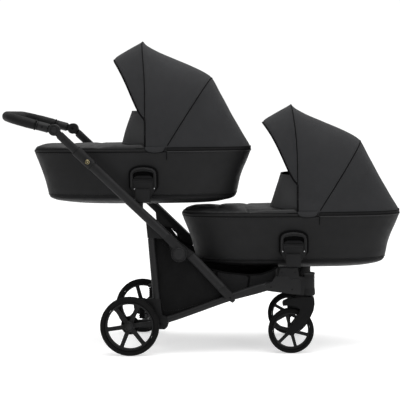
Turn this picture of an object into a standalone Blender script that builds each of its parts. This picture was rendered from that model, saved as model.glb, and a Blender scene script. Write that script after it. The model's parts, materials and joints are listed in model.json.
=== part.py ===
"""Tandem twin pram: one wheeled chassis that carries two lie-flat carrycots, one high over the
rear wheels and one low at the front.

Metres, +Z up, +X forward, the right-hand side of the pram at -Y. Everything hangs under one empty,
whose place puts the origin under the middle of the whole pram. Under that empty, X is measured
forward from the rear axle, Y from the middle plane and Z from the ground.
"""
import math

import bmesh
import bpy
from mathutils import Matrix, Vector

# ---------------------------------------------------------------- driving dimensions
X_SHIFT = -0.2783          # puts the middle of the pram's length at X = 0

REAR_R = 0.115             # rear wheel, outer radius
REAR_Y = 0.280             # middle plane of each rear wheel
REAR_TYRE = 0.040          # width of a rear tyre
FRONT_R = 0.089            # front wheel, outer radius
FRONT_TYRE = 0.036
CASTER_X = 0.694           # swivel axis of the front wheels
CASTER_Y = 0.225
TRAIL = 0.069              # front wheel axle behind its swivel axis

FRAME_IN, FRAME_OUT = 0.2215, 0.2445     # layer of the fixed frame tubes, from the middle plane
FRAME_Y = (FRAME_IN + FRAME_OUT) / 2
PUSH_Y = 0.257             # middle plane of the push tubes, outside the fixed frame
FOLD = Vector((0.194, 0.0, 0.3935))      # axis of the fold
KNOB = Vector((-0.285, 0.0, 0.877))      # axis of the handle's tilt
PUSH_DEG = 43.88           # slope of the push tubes
ARM_DEG = 15.3             # slope of the handle
ARM_REACH = 0.2095         # from the tilt axis to the handle's crossbar
GRIP_R = 0.0195

SUSP = Vector((0.120, 0.0, 0.118))       # pivot of the rear suspension arms
BEAM = Vector((0.045, 0.0, 0.115))       # cross beam of the rear axle

COT_XC = 0.0360            # middle of the rear carrycot's length
COT_A, COT_B = 0.4340, 0.2065            # half length and half width of a carrycot's rim
COT_RIM = 0.797            # height of the rear carrycot's rim
COT_STEP = Vector((0.593, 0.0, -0.2565)) # from the rear carrycot to the front one
PLATE_X = {"upper": 0.0542, "lower": 0.0445}     # middle of the side plates, before the step to the front carrycot
POST_DX = -0.0125          # adaptor post, from the middle of its side plate
BOW_DX, BOW_Z = 0.0362, 0.695            # hood pivot, forward of the carrycot's middle, and its height
BOW_R = 0.0045
BOW_FRONT = (93.6, 0.519)  # front bow: angle from forward, and reach from its pivot
BOW_REAR = (57.5, 0.4385)

GAP = 0.0004               # between pieces that touch

# ---------------------------------------------------------------- an empty scene
for ob in list(bpy.data.objects):
    bpy.data.objects.remove(ob, do_unlink=True)
PARTS = bpy.data.collections.new("twin_pram")
CUTTERS = bpy.data.collections.new("cutters")
bpy.context.scene.collection.children.link(PARTS)
bpy.context.scene.collection.children.link(CUTTERS)

ROOT = bpy.data.objects.new("pram_frame_axis", None)
PARTS.objects.link(ROOT)
ROOT.location = (X_SHIFT, 0, 0)


def material(name, colour, rough, metal=0.0):
    mat = bpy.data.materials.new(name)
    mat.use_nodes = True
    shader = mat.node_tree.nodes["Principled BSDF"]
    shader.inputs["Base Color"].default_value = (*colour, 1.0)
    shader.inputs["Roughness"].default_value = rough
    shader.inputs["Metallic"].default_value = metal
    mat.diffuse_color = (*colour, 1.0)
    return mat


BLACK_METAL = material("black_powder_coat", (0.020, 0.020, 0.022), 0.45, 0.3)
BLACK_PLASTIC = material("black_moulding", (0.024, 0.024, 0.026), 0.5)
RIM_PLASTIC = material("black_rim", (0.016, 0.016, 0.017), 0.5)
TYRE = material("tyre_rubber", (0.020, 0.020, 0.020), 0.85)
LEATHERETTE = material("black_leatherette", (0.030, 0.030, 0.032), 0.42)
HOOD_CLOTH = material("hood_cloth", (0.040, 0.040, 0.044), 0.75)
BASKET_CLOTH = material("basket_cloth", (0.012, 0.012, 0.013), 0.9)
WHITE_CLOTH = material("mattress_cover", (0.60, 0.60, 0.58), 0.9)
WIRE_STEEL = material("bow_steel", (0.30, 0.30, 0.31), 0.35, 0.9)
BRASS = material("brass_button", (0.50, 0.42, 0.28), 0.35, 0.9)


# ---------------------------------------------------------------- pivots
def pivot(name, at, parent=ROOT):
    """An empty on a joint's axis. Its own frame is the root's frame, moved."""
    empty = bpy.data.objects.new(name, None)
    PARTS.objects.link(empty)
    empty.empty_display_size = 0.03
    empty.parent = ROOT
    empty.location = at
    return empty


def hang(ob, on):
    """Parents an object, whose mesh is written in the root's frame, to a pivot."""
    ob.parent = on
    if on is not ROOT:
        ob.matrix_parent_inverse = Matrix.Translation(-Vector(on.location))


# ---------------------------------------------------------------- modelling tools
def keep(name, me, mat=None, cutter=False):
    ob = bpy.data.objects.new(name, me)
    (CUTTERS if cutter else PARTS).objects.link(ob)
    ob.parent = ROOT
    if cutter:
        ob.hide_render = True
        ob.display_type = "WIRE"
    if mat is not None:
        me.materials.clear()
        me.materials.append(mat)
    return ob


def from_bm(bm, name="piece"):
    bmesh.ops.recalc_face_normals(bm, faces=bm.faces)
    me = bpy.data.meshes.new(name)
    bm.to_mesh(me)
    bm.free()
    return me


def evaluated(ob, weld=0.00001):
    """The mesh of an object as its modifiers or its curve settings make it, in the root's frame."""
    bpy.context.view_layer.update()
    dg = bpy.context.evaluated_depsgraph_get()
    me = bpy.data.meshes.new_from_object(ob.evaluated_get(dg), depsgraph=dg)
    me.transform(ROOT.matrix_world.inverted() @ ob.matrix_world)
    bm = bmesh.new()
    bm.from_mesh(me)
    bmesh.ops.remove_doubles(bm, verts=bm.verts, dist=weld)
    bmesh.ops.dissolve_degenerate(bm, edges=bm.edges, dist=0.000005)
    bmesh.ops.recalc_face_normals(bm, faces=bm.faces)
    bm.to_mesh(me)
    bm.free()
    return me


def temp(data):
    ob = bpy.data.objects.new("temp", data)
    CUTTERS.objects.link(ob)
    ob.parent = ROOT
    return ob


def drop(ob):
    data = ob.data
    bpy.data.objects.remove(ob, do_unlink=True)
    if isinstance(data, bpy.types.Curve):
        bpy.data.curves.remove(data)


def cyl(a, b, r1, r2=None, seg=20, squash=None):
    """A round bar or cone from a to b. squash=(axis, factor) makes its section oval."""
    a, b = Vector(a), Vector(b)
    r2 = r1 if r2 is None else r2
    bm = bmesh.new()
    bmesh.ops.create_cone(bm, cap_ends=True, cap_tris=False, segments=seg, radius1=r1, radius2=r2, depth=(b - a).length)
    rot = (b - a).to_track_quat("Z", "Y").to_matrix().to_4x4()
    bmesh.ops.transform(bm, matrix=Matrix.Translation((a + b) / 2) @ rot, verts=bm.verts)
    if squash:
        along, factor, about = squash
        for v in bm.verts:
            v.co[along] = about + (v.co[along] - about) * factor
    return from_bm(bm)


def box(lo, hi):
    lo, hi = Vector(lo), Vector(hi)
    bm = bmesh.new()
    bmesh.ops.create_cube(bm, size=1.0)
    size = hi - lo
    bmesh.ops.transform(bm, matrix=Matrix.Translation((lo + hi) / 2) @ Matrix.Diagonal((abs(size.x), abs(size.y), abs(size.z), 1)), verts=bm.verts)
    return from_bm(bm)


def outline(points, y0, y1, holes=()):
    """A flat shape drawn in the X-Z plane, thick from y0 to y1."""
    curve = bpy.data.curves.new("outline", "CURVE")
    curve.dimensions = "2D"
    curve.fill_mode = "BOTH"
    curve.extrude = abs(y1 - y0) / 2
    for loop in (points, *holes):
        spline = curve.splines.new("POLY")
        spline.points.add(len(loop) - 1)
        for p, (x, z) in zip(spline.points, loop):
            p.co = (x, z, 0, 1)
        spline.use_cyclic_u = True
    ob = temp(curve)
    ob.rotation_euler = (math.pi / 2, 0, 0)
    ob.location = (0, (y0 + y1) / 2, 0)
    me = evaluated(ob)
    drop(ob)
    return me


def rod(points, r, radii=None, sides=2, flat=1.0):
    """A bar of round section along points, with filled caps. flat squeezes its section across Y."""
    curve = bpy.data.curves.new("rod", "CURVE")
    curve.dimensions = "3D"
    curve.bevel_depth = r
    curve.bevel_resolution = sides
    curve.use_fill_caps = True
    spline = curve.splines.new("POLY")
    spline.points.add(len(points) - 1)
    for i, (p, at) in enumerate(zip(spline.points, points)):
        p.co = (*at, 1)
        p.radius = radii[i] if radii else 1.0
    ob = temp(curve)
    me = evaluated(ob)
    drop(ob)
    if flat != 1.0:
        y = sum(p[1] for p in points) / len(points)
        for v in me.vertices:
            v.co.y = y + (v.co.y - y) * flat
    return me


def turned(profile, at, steps, closed=True):
    """A profile of (radius, offset) pairs turned about the Y direction through at."""
    me = bpy.data.meshes.new("profile")
    n = len(profile)
    edges = [(i, (i + 1) % n) for i in range(n if closed else n - 1)]
    me.from_pydata([(r, 0, h) for r, h in profile], edges, [])
    ob = temp(me)
    screw = ob.modifiers.new("turn", "SCREW")
    screw.axis = "Z"
    screw.angle = 2 * math.pi
    screw.steps = screw.render_steps = steps
    screw.use_merge_vertices = True
    screw.merge_threshold = 0.00001
    ob.rotation_euler = (math.pi / 2, 0, 0)
    ob.location = at
    out = evaluated(ob)
    drop(ob)
    return out


def loft(rings, cap_first=True, cap_last=True):
    """A skin over closed rings that have the same number of points."""
    bm = bmesh.new()
    rows = [[bm.verts.new(p) for p in ring] for ring in rings]
    n = len(rows[0])
    for a, b in zip(rows, rows[1:]):
        for i in range(n):
            bm.faces.new((a[i], a[(i + 1) % n], b[(i + 1) % n], b[i]))
    if cap_first:
        bm.faces.new(list(reversed(rows[0])))
    if cap_last:
        bm.faces.new(rows[-1])
    return from_bm(bm)


def sheet(rows, thickness, offset):
    """An open grid of points, given thickness with Solidify."""
    bm = bmesh.new()
    grid = [[bm.verts.new(p) for p in row] for row in rows]
    for a, b in zip(grid, grid[1:]):
        for i in range(len(a) - 1):
            bm.faces.new((a[i], a[i + 1], b[i + 1], b[i]))
    bmesh.ops.remove_doubles(bm, verts=bm.verts, dist=0.0008)
    bmesh.ops.dissolve_degenerate(bm, edges=bm.edges, dist=0.00001)
    me = bpy.data.meshes.new("sheet")
    bm.to_mesh(me)
    bm.free()
    ob = temp(me)
    solid = ob.modifiers.new("thickness", "SOLIDIFY")
    solid.thickness = thickness
    solid.offset = offset
    solid.use_even_offset = False
    out = evaluated(ob)
    drop(ob)
    return out


def joined(first, *steps):
    """Boolean steps on a mesh, such as ("UNION", mesh) or ("DIFFERENCE", mesh)."""
    ob = temp(first)
    for op, me in steps:
        tool = temp(me)
        mod = ob.modifiers.new(op.lower(), "BOOLEAN")
        mod.operation = op
        mod.object = tool
        mod.solver = "EXACT"
        out = evaluated(ob)
        ob.modifiers.clear()
        old = ob.data
        ob.data = out
        bpy.data.meshes.remove(old)
        drop(tool)
    me = ob.data
    drop(ob)
    return me


def merged(*meshes):
    """Separate solids in one mesh, for use as one Boolean operand."""
    bm = bmesh.new()
    for me in meshes:
        bm.from_mesh(me)
    return from_bm(bm)


def part(name, me, mat, on=None, smooth=True):
    me.name = name
    ob = keep(name, me, mat)
    if smooth:
        me.shade_smooth()
        me.set_sharp_from_angle(angle=math.radians(35))
    if on is not None:
        hang(ob, on)
    return ob


def arc(cx, cz, r, start, end, count):
    """Points on a circle in the X-Z plane, from start to end degrees."""
    return [(cx + r * math.cos(math.radians(start + (end - start) * i / (count - 1))),
             cz + r * math.sin(math.radians(start + (end - start) * i / (count - 1)))) for i in range(count)]


SIDES = (("right", -1), ("left", 1))

# ---------------------------------------------------------------- pivots of the moving pieces
fold_axis = pivot("fold_axis", FOLD)
knob_axis = pivot("handle_tilt_axis", KNOB)
susp_axis = pivot("suspension_axis", SUSP)
pedal_axis = pivot("brake_pedal_axis", BEAM)

# along the push tube: s metres down from the tilt axis, off metres above its middle line
DOWN = Vector((math.cos(math.radians(PUSH_DEG)), 0, -math.sin(math.radians(PUSH_DEG))))
ABOVE = Vector((math.sin(math.radians(PUSH_DEG)), 0, math.cos(math.radians(PUSH_DEG))))


def on_push(s, off=0.0, y=0.0):
    p = KNOB + DOWN * s + ABOVE * off
    return Vector((p.x, y, p.z))


def flat_push(s, off):
    p = on_push(s, off)
    return (p.x, p.z)


# ---------------------------------------------------------------- fixed frame
RAIL = [(0.146, 0.1345), (0.194, 0.1500), (0.272, 0.1777), (0.350, 0.2058), (0.400, 0.2235),
        (0.4450, 0.2375), (0.4870, 0.2495), (0.530, 0.2615)]
RAIL_R = [0.0130, 0.0130, 0.0130, 0.0130, 0.0140, 0.0160, 0.0172, 0.0168]
LOW_FROM = Vector((0.2988, 0, 0.3187))                   # a point on the lower tube's middle line
LOW_DIR = Vector((math.cos(math.radians(47)), 0, -math.sin(math.radians(47))))
LOW_UP = Vector((math.sin(math.radians(47)), 0, math.cos(math.radians(47))))
LOW_START = -0.0880
LOW_END = 0.1290


def low(s, off):
    p = LOW_FROM + LOW_DIR * s + LOW_UP * off
    return (p.x, p.z)


for side, k in SIDES:
    y_mid = k * FRAME_Y

    # bottom rail, from the rear leg's foot to the front bracket
    squeeze = (FRAME_OUT - FRAME_IN) / 2 / 0.0172
    rail = rod([(x, y_mid, z) for x, z in RAIL], 1.0, RAIL_R, flat=1.0)
    for v in rail.vertices:
        v.co.y = y_mid + max(-0.0112, min(0.0112, (v.co.y - y_mid) * 0.86))
    part(f"bottom_rail_{side}", rail, BLACK_METAL)

    # lower front tube: it stands on the bottom rail, with a clip over the rail's outer face
    tube = rod([(*low(LOW_START, 0)[:1], y_mid, low(LOW_START, 0)[1]), (low(LOW_END, 0)[0], y_mid, low(LOW_END, 0)[1])],
               0.0183, sides=2, flat=0.61)
    saddle = rod([(x, y_mid, z) for x, z in RAIL], 1.0, [r + 0.0006 for r in RAIL_R], flat=1.0)
    clip = outline([low(0.085, 0.0165), low(0.132, 0.0150), low(0.1555, 0.0060), low(0.1555, -0.0080),
                    low(0.128, -0.0150), low(0.085, -0.0165)], k * (FRAME_OUT - 0.0020), k * (FRAME_OUT + 0.0035))
    saddle_cut = joined(saddle, ("UNION", box((0.30, y_mid - 0.013, 0.10), (0.50, y_mid + 0.013, 0.2105))))
    wall = joined(clip, ("DIFFERENCE", box((0.30, k * 0.20, 0.15), (0.50, k * (FRAME_OUT + 0.0004), 0.2365))))
    tube = joined(tube, ("DIFFERENCE", saddle_cut), ("UNION", wall))
    part(f"lower_tube_{side}", tube, BLACK_METAL)

    # hinge housing: joins the leg and the lower tube, carries the fold pin and the rear carrycot's adaptor
    cx = PLATE_X["upper"]
    post = (cx + POST_DX - 0.0115, cx + POST_DX + 0.0115)
    edge_up = lambda s: flat_push(s, 0.0150)
    edge_lo = lambda s: flat_push(s, -0.0150)
    pts = [(post[0], 0.632), (post[1], 0.632), (post[1], 0.5705), edge_up(0.53), edge_up(0.60), edge_up(0.655),
           low(LOW_START - GAP, 0.0175), low(LOW_START - GAP, -0.0175)]
    pts += arc(FOLD.x, FOLD.z, 0.0300, -22, -172, 9)
    pts += [(0.1520, 0.4300), (0.1311, 0.4500), (0.0970, 0.4545), (0.0702, 0.4545), (0.0650, 0.5150),
            edge_lo(0.500), edge_lo(0.435), (post[0], 0.5890)]
    pts.reverse()
    housing = outline(pts, k * (FRAME_IN + 0.0005), k * (FRAME_OUT - 0.0005))
    thin = merged(box((post[0] - 0.002, k * 0.2210, 0.5905), (post[1] + 0.002, k * 0.2235, 0.640)),
                  box((post[0] - 0.002, k * 0.2325, 0.5905), (post[1] + 0.002, k * 0.2450, 0.640)))
    pin = cyl((FOLD.x, k * 0.2400, FOLD.z), (FOLD.x, k * 0.2625, FOLD.z), 0.0080)
    housing = joined(housing, ("DIFFERENCE", thin), ("UNION", pin))
    part(f"hinge_housing_{side}", housing, BLACK_PLASTIC)

    # rear leg: oval tube with a foot bracket that takes the rail, the suspension pivot and the boot
    leg = rod([(0.1065, y_mid, 0.1500), (0.0927, y_mid, 0.3305), (0.0838, y_mid, 0.4532)], 0.0136, flat=0.80)
    foot = outline([(0.1175, 0.2150), (0.0880, 0.2190), (0.0300, 0.2140), (0.0290, 0.2005), (0.0600, 0.1985),
                    (0.0870, 0.1840), (0.0950, 0.1500), (0.1000, 0.1080), (0.1100, 0.0970), (0.1330, 0.0960),
                    (0.1440, 0.1060), (0.1496, 0.1220), (0.1416, 0.1468), (0.1230, 0.1520)],
                   k * 0.2337, k * (FRAME_OUT - 0.0004))
    hinge_pin = cyl((SUSP.x, k * 0.2190, SUSP.z), (SUSP.x, k * 0.2380, SUSP.z), 0.0050, seg=16)
    shelf = box((0.0290, k * 0.2215, 0.2003), (0.0600, k * 0.2380, 0.2120))
    leg = joined(leg, ("UNION", foot), ("UNION", hinge_pin), ("UNION", shelf))
    part(f"rear_leg_{side}", leg, BLACK_METAL)

    # rubber boot of the rear spring
    boot_profile = [(0.0, 0.0295), (0.0115, 0.0295)]
    for i in range(3):
        z = 0.0200 - i * 0.0170
        boot_profile += [(0.0125, z + 0.0040), (0.0100, z - 0.0045)]
    boot_profile += [(0.0118, -0.0295), (0.0, -0.0295)]
    boot = turned(boot_profile, (0, 0, 0), 14, closed=False)
    boot.transform(Matrix.Rotation(-math.pi / 2, 4, "X"))
    boot.transform(Matrix.Translation((0.0440, k * 0.2270, 0.1685)))
    part(f"suspension_boot_{side}", boot, TYRE)

    # front bracket: caster housing, crosswise tube seat and the front carrycot's adaptor
    fx = PLATE_X["lower"] + COT_STEP.x
    fpost = (fx + POST_DX - 0.0115, fx + POST_DX + 0.0115)
    lift = COT_STEP.z
    pts = [(0.5350, 0.2458), (0.6000, 0.2370), (0.6680, 0.2290), (0.6860, 0.2290), (0.6860, 0.2985), (0.6570, 0.3010),
           (0.6510, 0.3345), (fpost[1], 0.3348), (fpost[1], 0.632 + lift), (fpost[0], 0.632 + lift), (fpost[0], 0.3348),
           (0.5840, 0.3345), (0.5765, 0.3020), (0.5637, 0.2868), (0.5560, 0.2800), (0.5258, 0.2774)]
    bracket = outline(pts, k * 0.2200, k * (FRAME_OUT - 0.0004))
    thin = merged(box((fpost[0] - 0.002, k * 0.2190, 0.5905 + lift), (fpost[1] + 0.002, k * 0.2235, 0.40)),
                  box((fpost[0] - 0.002, k * 0.2325, 0.5905 + lift), (fpost[1] + 0.002, k * 0.2460, 0.40)))
    barrel = turned([(0.0, 0.3160), (0.0175, 0.3160), (0.0225, 0.3120), (0.0235, 0.3040), (0.0235, 0.2290),
                     (0.0220, 0.2262), (0.0065, 0.2262), (0.0065, 0.2880), (0.0, 0.2880)], (0, 0, 0), 20, closed=False)
    barrel.transform(Matrix.Rotation(-math.pi / 2, 4, "X"))
    barrel.transform(Matrix.Translation((CASTER_X, k * CASTER_Y, 0)))
    bracket = joined(bracket, ("DIFFERENCE", thin), ("DIFFERENCE", cyl((CASTER_X, k * CASTER_Y, 0.2), (CASTER_X, k * CASTER_Y, 0.2880), 0.0120)),
                     ("UNION", barrel))
    part(f"front_bracket_{side}", bracket, BLACK_PLASTIC)

part("front_cross_tube", cyl((0.6100, -0.2196, 0.2640), (0.6100, 0.2196, 0.2640), 0.0120, seg=20), BLACK_METAL)

# ---------------------------------------------------------------- basket and side panels
BASKET_OUT = [(0.1420, 0.1600), (0.2000, 0.1480), (0.2720, 0.1700), (0.3500, 0.1980), (0.4450, 0.2330), (0.5300, 0.2560),
              (0.5640, 0.2700), (0.5760, 0.3360), (0.5500, 0.3220), (0.5100, 0.3090), (0.4550, 0.3050), (0.3900, 0.3120), (0.3050, 0.3300), (0.1480, 0.3300)]
BASKET_IN = [(0.1460, 0.1640), (0.2000, 0.1525), (0.2720, 0.1745), (0.3500, 0.2025), (0.4450, 0.2375), (0.5300, 0.2605),
             (0.5605, 0.2735), (0.5720, 0.3500), (0.4700, 0.3500), (0.3900, 0.3500), (0.3050, 0.3500), (0.1520, 0.3500)]
basket = joined(outline(BASKET_OUT, -0.2120, 0.2120), ("DIFFERENCE", outline(BASKET_IN, -0.2080, 0.2080)),
                ("DIFFERENCE", box((0.5000, -0.2080, 0.3100), (0.6000, 0.2080, 0.3500))))
part("shopping_basket", basket, BASKET_CLOTH, smooth=False)
for side, k in SIDES:
    panel = outline([(0.0960, 0.4560), (0.1300, 0.4500), (0.1640, 0.4050), (0.1940, 0.3800), (0.2420, 0.3740), (0.3050, 0.3080), (0.3900, 0.2220),
                     (0.3500, 0.2070), (0.2720, 0.1790), (0.1940, 0.1510), (0.1280, 0.1380), (0.1060, 0.2500)],
                    k * 0.2155, k * 0.2190)
    part(f"side_panel_{side}", panel, BASKET_CLOTH, smooth=False)

# ---------------------------------------------------------------- rear axle, pedal
axle = cyl((BEAM.x, -0.2225, BEAM.z), (BEAM.x, 0.2225, BEAM.z), 0.0115, seg=20)
steps = []
for side, k in SIDES:
    arm = outline(arc(SUSP.x, SUSP.z, 0.0160, -80, 80, 8) + arc(0.0, REAR_R, 0.0170, 95, 265, 9), k * 0.2210, k * 0.2325)
    bore = cyl((SUSP.x, k * 0.2100, SUSP.z), (SUSP.x, k * 0.2400, SUSP.z), 0.0056, seg=16)
    stub = cyl((0, k * 0.2300, REAR_R), (0, k * 0.3010, REAR_R), 0.0055, seg=16)
    spacer = cyl((0, k * 0.2300, REAR_R), (0, k * 0.2535, REAR_R), 0.0130, seg=16)
    steps += [("UNION", arm), ("UNION", spacer), ("UNION", stub), ("DIFFERENCE", bore)]
axle = joined(axle, *steps)
part("rear_axle_beam", axle, BLACK_METAL, susp_axis)

pedal = outline(arc(BEAM.x, BEAM.z, 0.0168, -40, 220, 14) + [(0.0240, 0.0900), (0.0120, 0.0800), (0.0140, 0.0735), (0.0700, 0.0720),
                (0.0740, 0.0780), (0.0640, 0.0920)], -0.0400, 0.0400)
pedal = joined(pedal, ("DIFFERENCE", cyl((BEAM.x, -0.10, BEAM.z), (BEAM.x, 0.10, BEAM.z), 0.0121, seg=24)))
part("brake_pedal", pedal, BLACK_PLASTIC, pedal_axis)


# ---------------------------------------------------------------- wheels
def wheel(name, side, k, x, y, z, outer, tyre_w, felloe, hub_r, hub_w, bore, phase, steps, on):
    """A rim with six spokes and a tyre on it, about an axle along Y."""
    inner_r, seat_r = felloe
    half = tyre_w / 2
    ring = turned([(inner_r, half * 0.62), (inner_r, -half * 0.62), (seat_r - 0.001, -half * 0.70), (seat_r, -half * 0.45),
                   (seat_r, half * 0.45), (seat_r - 0.001, half * 0.70)], (x, y, z), steps)
    hub = turned([(bore, hub_w), (bore, -hub_w), (hub_r * 0.80, -hub_w), (hub_r, -hub_w * 0.75), (hub_r, hub_w * 0.75), (hub_r * 0.80, hub_w)],
                 (x, y, z), 20)
    spokes = bmesh.new()
    for i in range(6):
        a = math.radians(phase + 60 * i)
        made = bmesh.ops.create_cube(spokes, size=1.0)["verts"]
        reach = (inner_r + 0.003) - hub_r * 0.86
        for v in made:
            t = v.co.x + 0.5
            wide = hub_r * 0.350 * (1 - t) + hub_r * 0.290 * t + 0.0010
            v.co = Vector((hub_r * 0.86 + reach * t, v.co.y * 2 * half * 0.30, v.co.z * 2 * wide))
        # the wheel turns about Y, and its angle grows from forward to up
        bmesh.ops.transform(spokes, matrix=Matrix.Translation((x, y, z)) @ Matrix.Rotation(-a, 4, "Y"), verts=made)
    rim = joined(ring, ("UNION", from_bm(spokes)), ("UNION", hub))
    part(f"{name}_rim_{side}", rim, RIM_PLASTIC, on)
    tread = turned([(seat_r + 0.0006, half * 0.72), (seat_r + 0.0006, -half * 0.72), (seat_r + (outer - seat_r) * 0.45, -half),
                    (seat_r + (outer - seat_r) * 0.86, -half * 0.80), (outer, -half * 0.36), (outer, half * 0.36),
                    (seat_r + (outer - seat_r) * 0.86, half * 0.80), (seat_r + (outer - seat_r) * 0.45, half)], (x, y, z), steps)
    part(f"{name}_tyre_{side}", tread, TYRE, on)


for side, k in SIDES:
    spin = pivot(f"rear_wheel_{side}_axis", (0, k * REAR_Y, REAR_R))
    wheel("rear", side, k, 0, k * REAR_Y, REAR_R, REAR_R, REAR_TYRE, (0.0868, 0.0950), 0.0205, 0.0225, 0.0059, 8 if k < 0 else 45, 32, spin)

# ---------------------------------------------------------------- front casters
WX = CASTER_X - TRAIL
for side, k in SIDES:
    swivel = pivot(f"caster_{side}_axis", (CASTER_X, k * CASTER_Y, 0.2))
    cy = k * CASTER_Y
    pts = [(0.6740, 0.2225), (0.7080, 0.2225), (0.7150, 0.2170), (0.7165, 0.1960), (0.7120, 0.1700), (0.7000, 0.1440), (0.6700, 0.1080)]
    pts += arc(WX, FRONT_R, 0.0165, -20, -200, 9)
    pts += [(0.6360, 0.1280), (0.6560, 0.1600), (0.6600, 0.1760), (0.6480, 0.1860), (0.6200, 0.1905), (0.5945, 0.1885), (0.5915, 0.1960), (0.5950, 0.2035), (0.6220, 0.2150), (0.6480, 0.2200)]
    pts.reverse()
    fork = outline(pts, cy - 0.0290, cy + 0.0290)
    slot = cyl((WX, cy - 0.0202, FRONT_R), (WX, cy + 0.0202, FRONT_R), 0.0945, seg=32)
    stem = cyl((CASTER_X, cy, 0.2150), (CASTER_X, cy, 0.2780), 0.0060, seg=16)
    pin = cyl((WX, cy - 0.0240, FRONT_R), (WX, cy + 0.0240, FRONT_R), 0.0045, seg=14)
    fork = joined(fork, ("DIFFERENCE", slot), ("UNION", stem), ("UNION", pin))
    part(f"front_fork_{side}", fork, BLACK_PLASTIC, swivel)
    spin = pivot(f"front_wheel_{side}_axis", (WX, cy, FRONT_R))
    wheel("front", side, k, WX, cy, FRONT_R, FRONT_R, FRONT_TYRE, (0.0655, 0.0722), 0.0155, 0.0180, 0.0049, 45 if k < 0 else 30, 28, spin)

# ---------------------------------------------------------------- push bar
for side, k in SIDES:
    y = k * PUSH_Y
    tube = rod([on_push(0.1900, 0, y), on_push(0.4200, 0, y), on_push(0.6450, 0, y)], 0.0182, [1.0, 0.97, 0.88], flat=0.632)
    lobe = [flat_push(0.600, -0.0160), flat_push(0.6480, -0.0175)]
    bs, boff = (FOLD - KNOB).dot(DOWN), (FOLD - KNOB).dot(ABOVE)
    for i in range(13):
        a = math.radians(182 + (452 - 182) * i / 12)
        lobe.append(flat_push(bs + 0.0310 * math.cos(a), boff + 0.0310 * math.sin(a)))
    lobe.append(flat_push(0.600, 0.0158))
    arm = outline(lobe, k * 0.2462, k * 0.2678)
    ring = cyl((FOLD.x, k * 0.2480, FOLD.z), (FOLD.x, k * 0.2705, FOLD.z), 0.0302, seg=28)
    collar = rod([on_push(0.1120, 0, y), on_push(0.1200, 0, y), on_push(0.1980, 0, y), on_push(0.2060, 0, y)], 0.0206, [0.93, 1.0, 1.0, 0.93], flat=0.66)
    boss = cyl(on_push(0.1790, 0, k * 0.2620), on_push(0.1790, 0, k * 0.2745), 0.0135, seg=18)
    inside = rod([on_push(0.1000, 0, y), on_push(0.3050, 0, y)], 0.0167, flat=0.585)
    pocket = cyl(on_push(0.1790, 0, k * 0.2690), on_push(0.1790, 0, k * 0.2800), 0.0097, seg=18)
    hole = cyl((FOLD.x, k * 0.2400, FOLD.z), (FOLD.x, k * 0.2800, FOLD.z), 0.0084, seg=20)
    well = cyl((FOLD.x, k * 0.2642, FOLD.z), (FOLD.x, k * 0.2800, FOLD.z), 0.0262, seg=28)
    push = joined(tube, ("UNION", arm), ("UNION", ring), ("UNION", collar), ("UNION", boss), ("DIFFERENCE", inside),
                  ("DIFFERENCE", pocket), ("DIFFERENCE", hole), ("DIFFERENCE", well))
    part(f"push_tube_{side}", push, BLACK_METAL, fold_axis)

    press = pivot(f"fold_button_{side}_axis", (FOLD.x, k * 0.2672, FOLD.z))
    cap = joined(cyl((FOLD.x, k * 0.2672, FOLD.z), (FOLD.x, k * 0.2722, FOLD.z), 0.0257, seg=28),
                 ("UNION", cyl((FOLD.x, k * 0.2700, FOLD.z), (FOLD.x, k * 0.2738, FOLD.z), 0.0257, 0.0225, seg=28)))
    part(f"fold_button_{side}", cap, BLACK_PLASTIC, press)

    at = on_push(0.1790, 0, k * 0.2712)
    press = pivot(f"height_button_{side}_axis", at)
    cap = cyl(at, on_push(0.1790, 0, k * 0.2765), 0.0092, 0.0080, seg=18)
    part(f"height_button_{side}", cap, BRASS, press)

    # telescopic tube with the knob's fixed half
    slide = rod([on_push(0.0270, 0, y), on_push(0.2880, 0, y)], 0.0162, flat=0.570)
    head = outline([flat_push(0.0500, -0.0120)] + [flat_push(0.0225 * math.cos(math.radians(a)), 0.0225 * math.sin(math.radians(a)))
                   for a in range(-32, -329, -18)] + [flat_push(0.0500, 0.0120)], k * 0.2560, k * 0.2720)
    axle_pin = cyl((KNOB.x, k * 0.2385, KNOB.z), (KNOB.x, k * 0.2600, KNOB.z), 0.0050, seg=16)
    pocket = cyl((KNOB.x, k * 0.2668, KNOB.z), (KNOB.x, k * 0.2800, KNOB.z), 0.0133, seg=20)
    slide = joined(slide, ("UNION", head), ("UNION", axle_pin), ("DIFFERENCE", pocket))
    slider = pivot(f"telescope_{side}_axis", on_push(0.1120, 0, y))
    part(f"telescopic_tube_{side}", slide, BLACK_METAL, slider)

    press = pivot(f"knob_button_{side}_axis", (KNOB.x, k * 0.2695, KNOB.z))
    cap = cyl((KNOB.x, k * 0.2695, KNOB.z), (KNOB.x, k * 0.2742, KNOB.z), 0.0128, 0.0112, seg=20)
    part(f"knob_button_{side}", cap, BLACK_PLASTIC, press)

# U handle: straight arms, rounded corners and a crossbar, drawn flat and then sloped about the tilt axis
ARM = Vector((-math.cos(math.radians(ARM_DEG)), 0, math.sin(math.radians(ARM_DEG))))
HANDLE_Y = 0.2465


def on_handle(a, y):
    p = KNOB + ARM * a
    return Vector((p.x, y, p.z))


def u_path(start, corner=0.100, count=8):
    half = [(start, HANDLE_Y)]
    for i in range(count):
        t = math.radians(90 * i / (count - 1))
        half.append((ARM_REACH - corner + corner * math.sin(t), HANDLE_Y - corner + corner * math.cos(t)))
    pts = [on_handle(a, -y) for a, y in half]
    pts += [on_handle(a, y) for a, y in reversed(half)]
    return pts


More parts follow.
